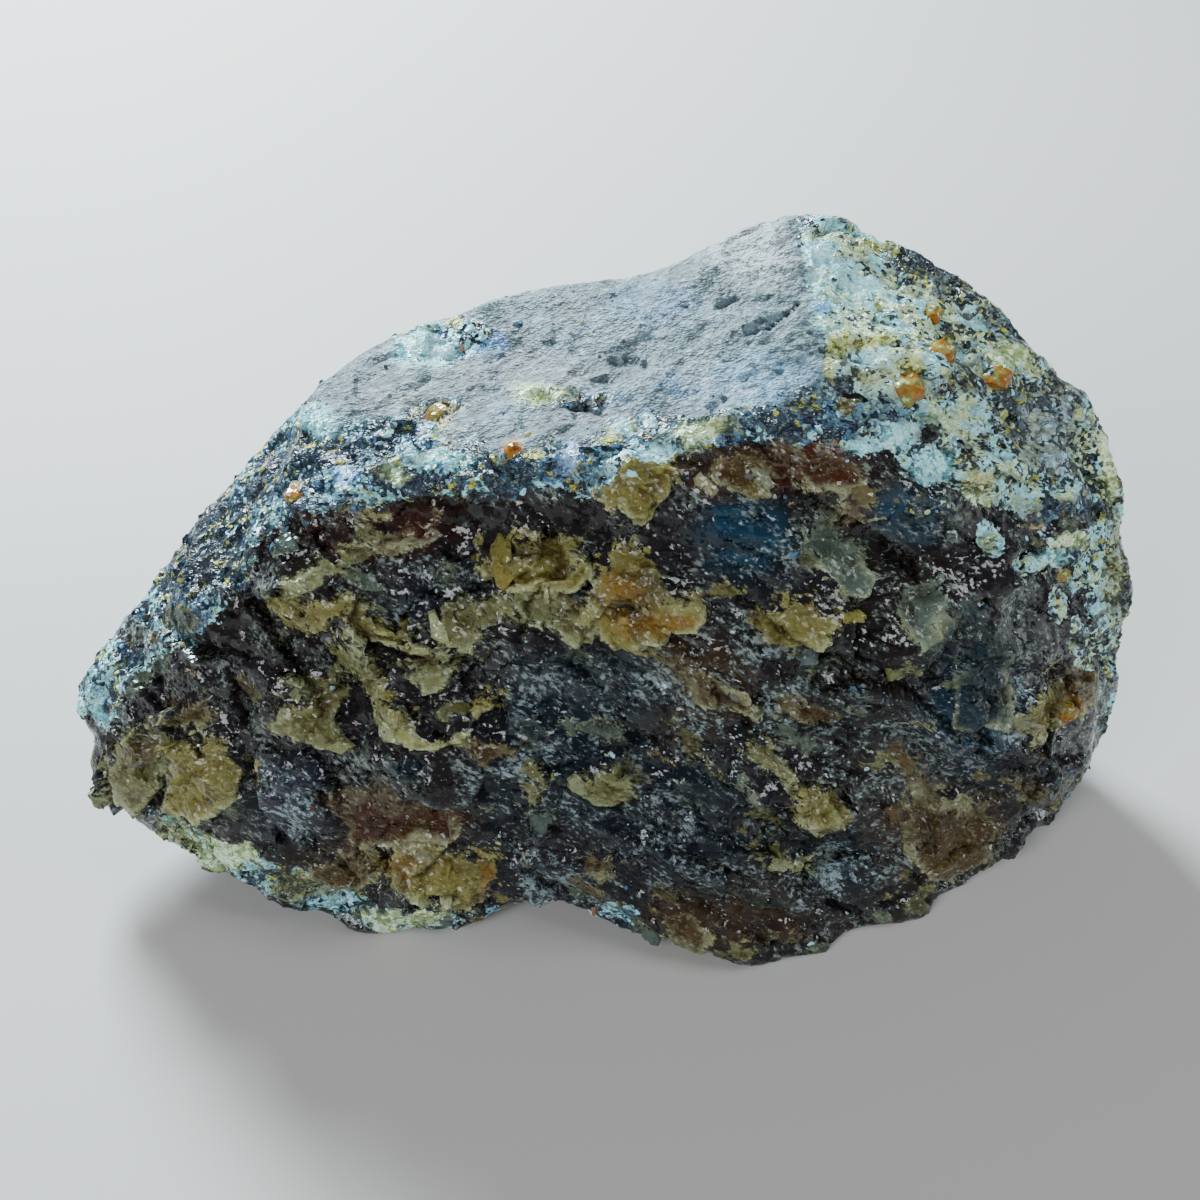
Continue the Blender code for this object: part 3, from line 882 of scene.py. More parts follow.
def grainy_relief(spots):
    """Packed angular crumbs, for the rim and the warm crust."""
    height = tilted_facets(along_grain(spots, 1.8), 2.8, 0.22, 0.30, SEED + 71)
    height += tilted_facets(along_grain(spots, 1.5), 1.3, 0.22, 0.10, SEED + 73)
    return height + 0.3 * rough_noise(spots, 6.0, SEED + 75)


def carved(places):
    """How deep cracks and pits are cut, in millimetres."""
    depth = np.zeros(len(places))
    for line in CRACKS.values():
        away = distance_to_line(places, line) / PIXELS_PER_MM
        depth = np.maximum(depth, CRACK_DEPTH * (1.0 - ramp(away, 0.0, CRACK_HALF_WIDTH)))
    for middle, half in PITS.values():
        away = np.linalg.norm((places - np.array(middle)) / np.array(half), axis=1)
        depth = np.maximum(depth, PIT_DEPTH * (1.0 - ramp(away, 0.5, 1.1)))
    return depth


def read_vertices(mesh):
    """A mesh's points and normals, in millimetres."""
    count = len(mesh.vertices)
    places = np.empty(count * 3)
    normals = np.empty(count * 3)
    mesh.vertices.foreach_get("co", places)
    mesh.vertices.foreach_get("normal", normals)
    return places.reshape(count, 3) * MM, normals.reshape(count, 3)


def write_vertices(mesh, places):
    """Puts the points back, from millimetres."""
    mesh.vertices.foreach_set("co", (places / MM).astype(np.float32).ravel())
    mesh.update()


def spread(mesh, values, rounds):
    """Each point's value averaged with its neighbours', a number of times."""
    ends = np.empty(len(mesh.edges) * 2, np.int64)
    mesh.edges.foreach_get("vertices", ends)
    left, right = ends.reshape(-1, 2).T
    count = len(mesh.vertices)
    joined = np.bincount(left, minlength=count) + np.bincount(right, minlength=count)
    for _ in range(rounds):
        total = np.bincount(left, values[right], count) + np.bincount(right, values[left], count)
        values = 0.5 * values + 0.5 * total / joined
    return values


def write_layer(mesh, name, values):
    """Keeps one number for each point on the mesh, for its material to read."""
    layer = mesh.attributes.new(name, "FLOAT", "POINT")
    layer.data.foreach_set("value", values.astype(np.float32))


def write_colours(mesh, name, colours):
    """Keeps one colour for each point on the mesh, for its material to read."""
    layer = mesh.attributes.new(name, "FLOAT_COLOR", "POINT")
    opaque = np.concatenate([colours, np.ones((len(colours), 1))], axis=1)
    layer.data.foreach_set("color", opaque.astype(np.float32).ravel())


def evaluated_mesh(thing):
    """The thing's mesh with its modifiers applied."""
    graph = bpy.context.evaluated_depsgraph_get()
    return bpy.data.meshes.new_from_object(thing.evaluated_get(graph))


def even_skin(step):
    """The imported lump's skin in even squares, halved where the photograph looks."""
    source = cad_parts[NODE]
    rough = bpy.data.objects.new("rough_lump", source.data.copy())
    bpy.context.scene.collection.objects.link(rough)
    squares = rough.modifiers.new("even squares", "REMESH")
    squares.mode = "VOXEL"
    squares.voxel_size = step
    soften = rough.modifiers.new("soften", "SMOOTH")
    soften.factor = 0.5
    soften.iterations = 3
    mesh = evaluated_mesh(rough)
    bpy.data.objects.remove(rough)
    work = bmesh.new()
    work.from_mesh(mesh)
    work.normal_update()
    viewpoint = CAMERA_PLACE / MM
    halved = set()
    for face in work.faces:
        middle = face.calc_center_median()
        towards = [viewpoint[axis] - middle[axis] for axis in range(3)]
        reach = math.sqrt(sum(part * part for part in towards))
        facing = sum(part * side for part, side in zip(towards, face.normal)) / reach
        if facing > FINE_SKIN_FACING:
            halved.update(face.edges)
    bmesh.ops.subdivide_edges(work, edges=list(halved), cuts=1, use_grid_fill=True, smooth=0.6)
    bmesh.ops.triangulate(work, faces=[face for face in work.faces if len(face.verts) > 4])
    work.to_mesh(mesh)
    work.free()
    return mesh


def weathered_lump(sizes, colours):
    """The lump's mesh with its relief, and the layers and colours that its material reads."""
    mesh = even_skin(sizes.skin_step)
    spots, normals = read_vertices(mesh)
    layers, rise = lay_out(spots, normals)
    covered = np.clip(layers["crust"] + layers["rim"] + layers["warm"], 0.0, 1.0)
    grainy = np.clip(layers["rim"] + layers["warm"], 0.0, 1.0) * (1.0 - layers["crust"])
    relief = sizes.facet_relief * fracture_relief(spots) * (1.0 - 0.75 * covered)
    relief += sizes.plate_relief * rise * (1.0 - 0.8 * covered)
    relief += crust_relief(spots) * layers["crust"]
    relief += sizes.grain_relief * grainy_relief(spots) * grainy
    facing = facing_photo(spots, normals)
    relief -= carved(warped_places(spots, 0.35)) * ramp(facing, 0.0, 0.1)
    relief *= 0.5 + 0.5 * ramp(np.abs(facing), *GRAZING_FADE)
    relief -= RELIEF_SINK
    averaged = [spread(mesh, normals[:, axis], NORMAL_ROUNDS) for axis in range(3)]
    outward = np.stack(averaged, axis=1)
    outward /= np.linalg.norm(outward, axis=1)[:, None]
    moved = spots + outward * (relief * ramp(spots[:, 2], *FLOOR_FADE))[:, None]
    moved[:, 2] = np.maximum(moved[:, 2], 0.0)
    write_vertices(mesh, moved)
    # How far each point lies below its averaged relief; the material paints shade into the hollows
    # and highlight onto the ridges from this.
    sunk = (spread(mesh, relief, HOLLOW_ROUNDS) - relief) / HOLLOW_DEPTH
    layers["covered"] = covered
    layers["plate"] = np.max([layers[finish] for finish in FINISHES], axis=0)
    layers["hollow"] = np.clip(0.5 + sunk, 0.0, 1.0)
    for name in KEPT_LAYERS:
        write_layer(mesh, name, layers[name])
    for name, painted in painted_colours(spots, normals, layers, colours).items():
        write_colours(mesh, name, painted)
    mesh.shade_smooth()
    mesh.set_sharp_from_angle(angle=SHARP_EDGE)
    return mesh


class Value:
    """A shader socket that plain arithmetic works on; each step adds a Math node."""

    def __init__(self, finish, socket):
        self.finish = finish
        self.socket = socket

    def step(self, operation, first, second, clamp=False):
        """Adds one Math node."""
        settings = {"operation": operation, "use_clamp": clamp}
        return self.finish.add("ShaderNodeMath", settings, {0: first, 1: second})

    def __add__(self, other):
        return self.step("ADD", self, other)

    def __radd__(self, other):
        return self.step("ADD", other, self)

    def __sub__(self, other):
        return self.step("SUBTRACT", self, other)

    def __rsub__(self, other):
        return self.step("SUBTRACT", other, self)

    def __mul__(self, other):
        return self.step("MULTIPLY", self, other)

    def __rmul__(self, other):
        return self.step("MULTIPLY", other, self)

    def __gt__(self, other):
        return self.step("GREATER_THAN", self, other)

    def limited(self):
        """The value kept between 0 and 1."""
        return self.step("ADD", self, 0.0, clamp=True)


class Finish:
    """The node tree of one material."""

    def __init__(self, name):
        self.material = bpy.data.materials.new(name)
        self.material.use_nodes = True
        self.tree = self.material.node_tree
        self.tree.nodes.clear()

    def add(self, kind, settings=(), sockets=(), output=0):
        """Adds a node: its settings first, then its sockets' values or links. Returns one
        output, or several where output is a tuple of names."""
        node = self.tree.nodes.new(kind)
        for name, setting in dict(settings).items():
            setattr(node, name, setting)
        for name, value in dict(sockets).items():
            if isinstance(value, Value):
                self.tree.links.new(value.socket, node.inputs[name])
            else:
                node.inputs[name].default_value = value
        if isinstance(output, tuple):
            return [Value(self, node.outputs[name]) for name in output]
        return Value(self, node.outputs[output]) if node.outputs else node

    def layer(self, name, output="Fac"):
        """A number or colour kept on the mesh."""
        return self.add("ShaderNodeAttribute", {"attribute_name": name}, {}, output)

    def place(self):
        """The place on the piece, in millimetres."""
        return self.add(
            "ShaderNodeVectorMath", {"operation": "SCALE"},
            {0: self.add("ShaderNodeTexCoord", output="Object"), "Scale": MM})

    def vector(self, operation, first, second, output="Vector"):
        """A Vector Math node on two vectors."""
        return self.add(
            "ShaderNodeVectorMath", {"operation": operation}, {0: first, 1: second}, output)

    def grain_place(self, place, stretch):
        """The place in the grain's directions, drawn together along it."""
        along = self.vector("DOT_PRODUCT", place, tuple(GRAIN / stretch), "Value")
        across = self.vector("DOT_PRODUCT", place, tuple(ACROSS_GRAIN), "Value")
        inward = self.vector("DOT_PRODUCT", place, (0.0, 1.0, 0.0), "Value")
        return self.add("ShaderNodeCombineXYZ", (), {"X": along, "Y": across, "Z": inward})

    def noise(self, place, size, detail=3.0, roughness=0.55):
        """Noise from 0 to 1 with lumps of about this size in millimetres."""
        return self.add("ShaderNodeTexNoise", (), {
            "Vector": place, "Scale": 1.0 / size, "Detail": detail, "Roughness": roughness})

    def swayed(self, place, reach):
        """The place moved this way and that by the noise kept on the mesh, in millimetres."""
        swell = self.layer("swell") - 0.5
        patch = self.layer("patch") - 0.5
        sway = self.add("ShaderNodeCombineXYZ", (), {
            "X": swell * reach, "Y": patch * reach, "Z": (patch - swell) * reach})
        return self.vector("ADD", place, sway)

    def cells(self, place, size):
        """A cell pattern: how far the nearest middle is, and a random colour for each cell."""
        return self.add(
            "ShaderNodeTexVoronoi", (), {"Vector": place, "Scale": 1.0 / size},
            ("Distance", "Color"))

    def tilted(self, normal, random, slope):
        """A normal leaned a cell's own way, so that the cell shows as a flat facet."""
        lean = self.vector("SUBTRACT", random, (0.5, 0.5, 0.5))
        lean = self.add(
            "ShaderNodeVectorMath", {"operation": "SCALE"}, {0: lean, "Scale": slope * 2.0})
        return self.vector("NORMALIZE", self.vector("ADD", normal, lean), (0.0, 0.0, 0.0))

    def three_numbers(self, colour):
        """A random cell's three numbers."""
        return self.add(
            "ShaderNodeSeparateColor", (), {"Color": colour}, ("Red", "Green", "Blue"))

    def ramp(self, value, low, high):
        """A smooth climb from 0 at low to 1 at high."""
        return self.add("ShaderNodeMapRange", {"interpolation_type": "SMOOTHSTEP"}, {
            "Value": value, "From Min": low, "From Max": high}, "Result")

    def mix(self, share, under, over, blend="MIX"):
        """One colour laid over another by a share."""
        sockets = {0: share, 6: opaque(under), 7: opaque(over)}
        return self.add("ShaderNodeMix", {"data_type": "RGBA", "blend_type": blend}, sockets, 2)

    def bump(self, height, strength=1.0):
        """Surface tilt from a height in millimetres."""
        return self.add("ShaderNodeBump", (), {
            "Height": height, "Distance": 1.0 / MM, "Strength": strength}, "Normal")

    def done(self, surface, volume=None):
        """Ends the material with its surface, and what fills it."""
        sockets = {"Surface": surface}
        if volume is not None:
            sockets["Volume"] = volume
        self.add("ShaderNodeOutputMaterial", (), sockets)
        return self.material


def opaque(colour):
    """A plain colour with full alpha; a linked one as it is."""
    if isinstance(colour, Value):
        return colour
    return (*tuple(colour)[:3], 1.0)


def amber_tone(finish, fine, shard, chip, colours):
    """Dark amber with thin veils and ragged plates, each small facet in its own tone, with
    painted highlight along the plate edges and ridges, and the share of plates."""
    tone, tint, _ = finish.three_numbers(shard)
    one, two, three = finish.three_numbers(chip)
    swell = finish.layer("swell")
    share = finish.layer("plate") + (swell - 0.5) * 1.0 + (fine - 0.5) * 0.9
    share = share + (tone - 0.5) * 0.22
    body = finish.ramp(share, 0.40, 0.60)
    # Painted highlight in a narrow strip just inside each plate's outline.
    edge = finish.ramp(share, 0.46, 0.56) - finish.ramp(share, 0.58, 0.78)
    # Painted highlight on the ridges of the relief, where the hollow layer is low.
    ridge_highlight = finish.ramp(finish.layer("hollow"), 0.36, 0.14)
    plate = finish.layer("plate_colour", "Color")
    depth = finish.ramp(tint * 0.5 + one * 0.25 + swell + fine * 0.8, 1.0, 1.7)
    plate = finish.mix(depth * 0.9, plate, colours.deep_and_shade, "MULTIPLY")
    # Painted highlight along the plate edges and ridges, with light patches from the noise.
    light = edge * 0.25 + ridge_highlight * 0.3 + finish.ramp(fine + two * 0.2, 0.62, 0.80) * 0.55
    plate = finish.mix(light.limited(), plate, finish.layer("edge_colour", "Color"))
    dark = finish.layer("dark_colour", "Color")
    dark = finish.mix(finish.ramp(tint + swell, 0.7, 1.5) * 0.7, dark, colours.black)
    crowd = finish.layer("glints")
    thread = fine + three * 0.16 + (swell - 0.5) * 0.6 + crowd * 0.07
    veil = finish.ramp(thread, 0.57, 0.71) * 0.24 + finish.ramp(thread, 0.68, 0.78) * 0.7
    veil = (veil + ridge_highlight * 0.1).limited()
    dark = finish.mix(veil, dark, finish.layer("veil_colour", "Color"))
    return finish.mix(body, dark, plate), body


def crust_tone(finish, grit, patch, colours):
    """The matte crust with its grit and scratches."""
    tone = finish.layer("crust_colour", "Color")
    # Rim grey laid into the crust in patches where the noise runs low, whatever the relief.
    hollows = finish.ramp(patch + (grit - 0.5) * 0.9, 0.34, 0.24)
    tone = finish.mix(hollows * 0.6, tone, colours.rim_grey)
    tone = finish.mix(finish.ramp(grit, 0.51, 0.59) * 0.85, tone, colours.crust_dark)
    tone = finish.mix(finish.ramp(grit, 0.43, 0.37) * 0.75, tone, colours.crust_light)
    dusty = finish.ramp(patch - (grit - 0.5), 0.60, 0.70) * 0.5
    return finish.mix(dusty, tone, colours.crust_light)


def crumb_tone(finish, grit, patch, shard, chip, colours):
    """Packed crumbs, light, dark, yellow and blue, on the rim and the warm crust, with
    painted shade in the gaps between them.
    """
    one, two, three = finish.three_numbers(shard)
    small, hue, _ = finish.three_numbers(chip)
    warm = finish.layer("warm")
    tinted = finish.layer("tinted")
    plain = 1.0 - tinted * 0.7
    order = one * 0.46 + small * 0.50 + grit * 0.8 - 0.38
    wanted = 1.0 - finish.layer("light")
    tone = finish.layer("crust_colour", "Color")
    lighter = finish.mix(1.0, tone, tone, "SCREEN")
    deeper = finish.mix(1.0, tone, tone, "MULTIPLY")
    yellow = finish.ramp(two * 0.5 + hue * 0.5 + patch * 0.8, 1.04, 1.10) * plain
    tone = finish.mix(yellow, tone, colours.fleck_yellow)
    blue = finish.ramp(three - patch * 0.6, 0.42, 0.46) * (0.8 - warm * 0.7) * plain
    tone = finish.mix(blue, tone, colours.fleck_blue)
    pale = finish.mix(warm * finish.ramp(two, 0.5, 0.6) * 0.8, colours.ice_white, colours.cream)
    pale = finish.mix(tinted * finish.ramp(hue, 0.2, 0.3) * 0.8, pale, lighter)
    pale = finish.mix(finish.ramp(grit + hue * 0.2, 0.64, 0.54) * 0.5, pale, tone)
    light = finish.ramp(order, wanted - 0.02, wanted + 0.08)
    tone = finish.mix(light * (0.95 - tinted * 0.2), tone, pale)
    # Painted shade in the gaps between crumbs: the crumbs lowest in their random order turn dark.
    dark = finish.ramp(order, wanted * 0.34 + 0.28, wanted * 0.34 + 0.20)
    gap = finish.mix(tinted * 0.5, colours.dark_fleck_and_gap_shade, deeper)
    return finish.mix(dark * (0.95 - tinted * 0.1), tone, gap)


def lump_material(colours, sizes):
    """Dark see-through amber under a share of opaque crust."""
    finish = Finish("amber_and_crust")
    place = finish.place()
    normal = finish.add("ShaderNodeNewGeometry", (), (), "Normal")
    patch = finish.layer("patch")
    scratched = finish.add("ShaderNodeMapping", {"vector_type": "POINT"}, {
        "Vector": place, "Rotation": (0.0, 0.0, CRUST_GRAIN_TURN), "Scale": (0.6, 1.0, 1.0)})
    grit = finish.noise(scratched, GRIT_SIZE, 4.0, 0.82)
    rough = finish.noise(scratched, GRIT_SIZE, 2.0, 0.85)
    ragged = (grit - 0.5) * 0.9 + (patch - 0.5) * 0.8
    crumbly = 1.0 - finish.ramp(finish.layer("crust") + ragged, 0.46, 0.54)
    covered = finish.ramp(finish.layer("covered") + ragged, 0.46, 0.52)
    # Painted shade: how deep each point lies in a hollow of the relief.
    shade = finish.ramp(finish.layer("hollow"), 0.52, 0.85)

    drawn = finish.grain_place(finish.swayed(place, 1.0), 1.7)
    _, shard = finish.cells(drawn, SHARD_SIZE)
    near, chip = finish.cells(drawn, CHIP_SIZE)
    fine = finish.noise(drawn, FINE_SIZE, 3.0, 0.74)
    amber, plates = amber_tone(finish, fine, shard, chip, colours)
    # Painted glints: tiny white highlights laid into the amber's colour, crowded where the glints
    # layer is high and fewer on the plates.
    crowd = finish.layer("glints") * 0.24 + sizes.painted_glint_share
    crowd = crowd * finish.ramp(fine, 0.38, 0.60) * (1.0 - plates * 0.5)
    dimness, number, _ = finish.three_numbers(chip)
    painted_glint = (number > (1.0 - crowd)) * finish.ramp(near, 0.40, 0.28) * (0.4 + dimness * 0.6)
    amber = finish.mix(painted_glint, amber, colours.glint)
    # Painted shade, darker in the hollows of the amber.
    amber = finish.mix(shade * 0.75, amber, colours.deep_and_shade, "MULTIPLY")
    clear = finish.add("ShaderNodeBsdfPrincipled", {}, {
        "Base Color": amber,
        "Roughness": 0.12 + plates * 0.14 + (fine - 0.5) * 0.3,
        "IOR": AMBER_IOR,
        "Specular IOR Level": 0.15,
        "Transmission Weight": 0.3,
        "Normal": finish.tilted(finish.tilted(normal, shard, 0.10), chip, 0.12 + plates * 0.16),
    })

    rounder = finish.grain_place(finish.swayed(place, 0.9), 1.2)
    _, lump = finish.cells(rounder, LUMP_SIZE)
    _, crumb = finish.cells(rounder, CRUMB_SIZE)
    crumbs = crumb_tone(finish, grit, patch, lump, crumb, colours)
    matter = finish.mix(crumbly, crust_tone(finish, grit, patch, colours), crumbs)
    # Painted shade, darker in the hollows of the crust and crumbs.
    matter = finish.mix(shade * 0.6, matter, colours.crust_dark)
    matte = finish.add("ShaderNodeBsdfPrincipled", {}, {
        "Base Color": matter,
        "Roughness": 0.62 - crumbly * 0.32 + (grit - 0.5) * 0.4,
        "Specular IOR Level": 0.45,
        "Normal": finish.tilted(
            finish.tilted(finish.bump((0.5 - rough) * 0.55), lump, crumbly * 0.28),
            crumb, crumbly * 0.44),
    })
    surface = finish.add("ShaderNodeMixShader", (), {0: covered, 1: clear, 2: matte})
    inside = finish.add("ShaderNodeVolumeAbsorption", (), {
        "Color": opaque(colours.inside), "Density": sizes.absorption})
    return finish.done(surface, inside)


def small_piece_material(name, colours, layer, transmission, roughness):
    """Small hard pieces that take their own colour each, with cloudy spots."""
    finish = Finish(name)
    place = finish.place()
    normal = finish.add("ShaderNodeNewGeometry", (), (), "Normal")
    cloud = finish.noise(place, 0.5, 2.0, 0.6)
    _, random = finish.cells(place, 0.35)
    colour = finish.mix(
        finish.ramp(cloud, 0.5, 0.72) * 0.55, finish.layer(layer, "Color"), colours.dark_brown)
    surface = finish.add("ShaderNodeBsdfPrincipled", {}, {
        "Base Color": colour,
        "Roughness": roughness + (cloud - 0.5) * 0.3,
        "IOR": AMBER_IOR,
        "Specular IOR Level": 0.3,
        "Transmission Weight": transmission,
        "Normal": finish.tilted(normal, random, 0.2),
    })
    return finish.done(surface)


def bead_material(colours):
    """Clear orange amber, clouded with gold, cream and dark red."""
    finish = Finish("orange_amber")
    place = finish.place()
    normal = finish.add("ShaderNodeNewGeometry", (), (), "Normal")
    cloud = finish.noise(place, 1.4, 3.0, 0.66)
    _, random = finish.cells(place, 0.7)
    colour = finish.mix(finish.ramp(cloud, 0.42, 0.58), colours.orange, colours.gold)
    colour = finish.mix(finish.ramp(cloud, 0.60, 0.66) * 0.8, colour, colours.cream)
    colour = finish.mix(finish.ramp(cloud, 0.40, 0.34) * 0.7, colour, colours.dark_red)
    surface = finish.add("ShaderNodeBsdfPrincipled", {}, {
        "Base Color": colour,
        "Roughness": 0.16 + (cloud - 0.5) * 0.3,
        "IOR": AMBER_IOR,
        "Transmission Weight": 0.35,
        "Normal": finish.tilted(normal, random, 0.2),
    })
    return finish.done(surface)


class Skin:
    """The finished lump's triangles and layers, for small pieces to be laid on."""

    def __init__(self, mesh, layers, colours):
        mesh.calc_loop_triangles()
        self.spots, _ = read_vertices(mesh)
        corners = np.empty(len(mesh.loop_triangles) * 3, np.int64)
        mesh.loop_triangles.foreach_get("vertices", corners)
        self.triangles = corners.reshape(-1, 3)
        first, second, third = (self.spots[self.triangles[:, corner]] for corner in range(3))
        cross = np.cross(second - first, third - first)
        self.areas = np.linalg.norm(cross, axis=1) / 2.0
        self.normals = cross / np.maximum(2.0 * self.areas, 1e-12)[:, None]
        self.layers = layers
        self.colours = colours

    def scatter(self, count, weights, random):
        """Random places, more where the weight is higher: spots, normals, triangles."""
        share = self.areas * weights[self.triangles].mean(axis=1)
        picks = random.choice(len(share), size=count, p=share / share.sum())
        mixing = random.dirichlet((1.0, 1.0, 1.0), size=count)
        spots = (self.spots[self.triangles[picks]] * mixing[:, :, None]).sum(axis=1)
        return spots, self.normals[picks], picks

    def layer_at(self, name, picks):
        """A layer's value on the picked triangles."""
        return self.layers[name][self.triangles[picks]].mean(axis=1)

    def colour_at(self, name, picks):
        """A colour on the picked triangles."""
        return self.colours[name][self.triangles[picks]].mean(axis=1)


def frames_on(normals, leading):
    """Directions across the surface for each normal: along a leading direction, and aside."""
    along = leading - (leading * normals).sum(axis=1)[:, None] * normals
    along /= np.linalg.norm(along, axis=1)[:, None]
    return along, np.cross(normals, along)


def flake_points(spots, normals, sizes, thickness, tilt, random, corners):
    """Rough chips, each a ragged disc with a bevelled upper side, tilted out of the skin."""
    count = len(spots)
    leading = np.tile(GRAIN, (count, 1)) + random.normal(0.0, 0.35, (count, 3))
    along, aside = frames_on(normals, leading)
    lifted = normals * np.cos(tilt)[:, None] + aside * np.sin(tilt)[:, None]
    aside = np.cross(lifted, along)
    turns = np.linspace(0.0, 2.0 * np.pi, corners, endpoint=False)
    turns = turns + random.uniform(-0.3, 0.3, (count, corners))
    reach = random.uniform(0.62, 1.2, (count, corners)) * sizes[:, None]
    stretch = random.uniform(1.1, 2.1, (count, 1))
    flat = (along[:, None, :] * (np.cos(turns) * reach * stretch)[:, :, None]
            + aside[:, None, :] * (np.sin(turns) * reach)[:, :, None])
    middle = spots[:, None, :]
    up = lifted[:, None, :]
    half = 0.5 * thickness[:, None, None]
    lower = middle + flat - up * half
    upper = middle + flat * 0.8 + up * half * random.uniform(0.5, 1.3, (count, corners, 1))
    top = middle + up * half * 1.25
    return np.concatenate([lower, upper, top], axis=1)


def flake_faces(corners):
    """The faces of one chip."""
    after = [(corner + 1) % corners for corner in range(corners)]
    sides = [(c, n, corners + n, corners + c) for c, n in enumerate(after)]
    fan = [(corners + c, corners + n, 2 * corners) for c, n in enumerate(after)]
    return sides + fan + [tuple(reversed(range(corners)))]


def grain_template():
    """The points and faces of a small closed ball, before it is made angular."""
    work = bmesh.new()
    bmesh.ops.create_icosphere(work, subdivisions=1, radius=1.0)
    points = np.array([vertex.co for vertex in work.verts])
    faces = [tuple(vertex.index for vertex in face.verts) for face in work.faces]
    work.free()
    return points, faces


def grain_points(spots, normals, sizes, random):
    """Angular grains, flattened against the skin and turned every way."""
    template, _ = grain_template()
    count = len(spots)
    shape = template[None, :, :] * random.uniform(0.45, 1.3, (count, len(template), 1))
    squash = np.stack([
        random.uniform(0.9, 1.5, count),
        random.uniform(0.7, 1.0, count),
        random.uniform(0.45, 0.75, count),
    ], axis=1)
    shape = shape * squash[:, None, :] * sizes[:, None, None]
    along, aside = frames_on(normals, random.normal(0.0, 1.0, (count, 3)))
    return (spots[:, None, :] + along[:, None, :] * shape[:, :, :1]
            + aside[:, None, :] * shape[:, :, 1:2] + normals[:, None, :] * shape[:, :, 2:])


def joined_mesh(name, points, faces):
    """One mesh of many copies of the same faces, each on its own points."""
    count, each, _ = points.shape
    every = [tuple(number * each + corner for corner in face)
             for number in range(count) for face in faces]
    mesh = bpy.data.meshes.new(name)
    places = points.reshape(-1, 3).copy()
    places[:, 2] = np.maximum(places[:, 2], 0.0)
    mesh.from_pydata((places / MM).tolist(), [], every)
    mesh.update()
    return mesh


def add_piece(name, mesh, material):
    """Puts a finished mesh in the scene as a piece of the lump."""
    piece = bpy.data.objects.new(name, mesh)
    bpy.context.scene.collection.objects.link(piece)
    mesh.materials.clear()
    mesh.materials.append(material)
    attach(piece, BODY)
    return piece


def picked_colours(palette, random, count, spread_of=0.18):
    """A colour for each of many pieces, from a list of colours and their shares."""
    shares = np.array([share for _, share in palette])
    table = np.array([tuple(colour) for colour, _ in palette])
    chosen = table[random.choice(len(palette), size=count, p=shares / shares.sum())]
    return np.clip(chosen * random.normal(1.0, spread_of, (count, 1)), 0.0, 1.0)


class AmberSizes(bpy.types.PropertyGroup):
    """Sizes of the lump's fine shapes."""

    skin_step: FloatProperty(
        name="Skin step", description="Side of a square of the lump's skin at the back",
        default=0.00084, min=0.0004, subtype="DISTANCE", unit="LENGTH")
    facet_relief: FloatProperty(
        name="Facet relief", description="How strongly the broken amber is faceted",
        default=1.0, min=0.0, max=3.0, subtype="FACTOR")
    plate_relief: FloatProperty(
        name="Plate relief", description="How strongly the plates stand out",
        default=1.0, min=0.0, max=3.0, subtype="FACTOR")
    grain_relief: FloatProperty(
        name="Grain relief", description="How strongly the rim is grained",
        default=1.0, min=0.0, max=3.0, subtype="FACTOR")
    # The share of painted glints, tiny white highlights on the broken amber.
    painted_glint_share: FloatProperty(
        name="Specks", description="Share of the broken amber that is white specks",
        default=0.07, min=0.0, max=0.5, subtype="FACTOR")
    absorption: FloatProperty(
        name="Absorption", description="How fast light fades inside the amber, for each metre",
        default=420.0, min=0.0)
    flakes: IntProperty(
        name="Flakes", description="Number of small chips on the broken front",
        default=1100, min=1)
    large_flakes: IntProperty(
        name="Large flakes", description="Number of large chips on the broken front",
        default=60, min=1)
    grains: IntProperty(
        name="Grains", description="Number of grains on the rim and the warm crust",
        default=2600, min=1)


def colour_property(name, description, default):
    """A colour that a user can change."""
    return FloatVectorProperty(
        name=name, description=description, default=default, min=0.0, max=1.0, size=3,
        subtype="COLOR")


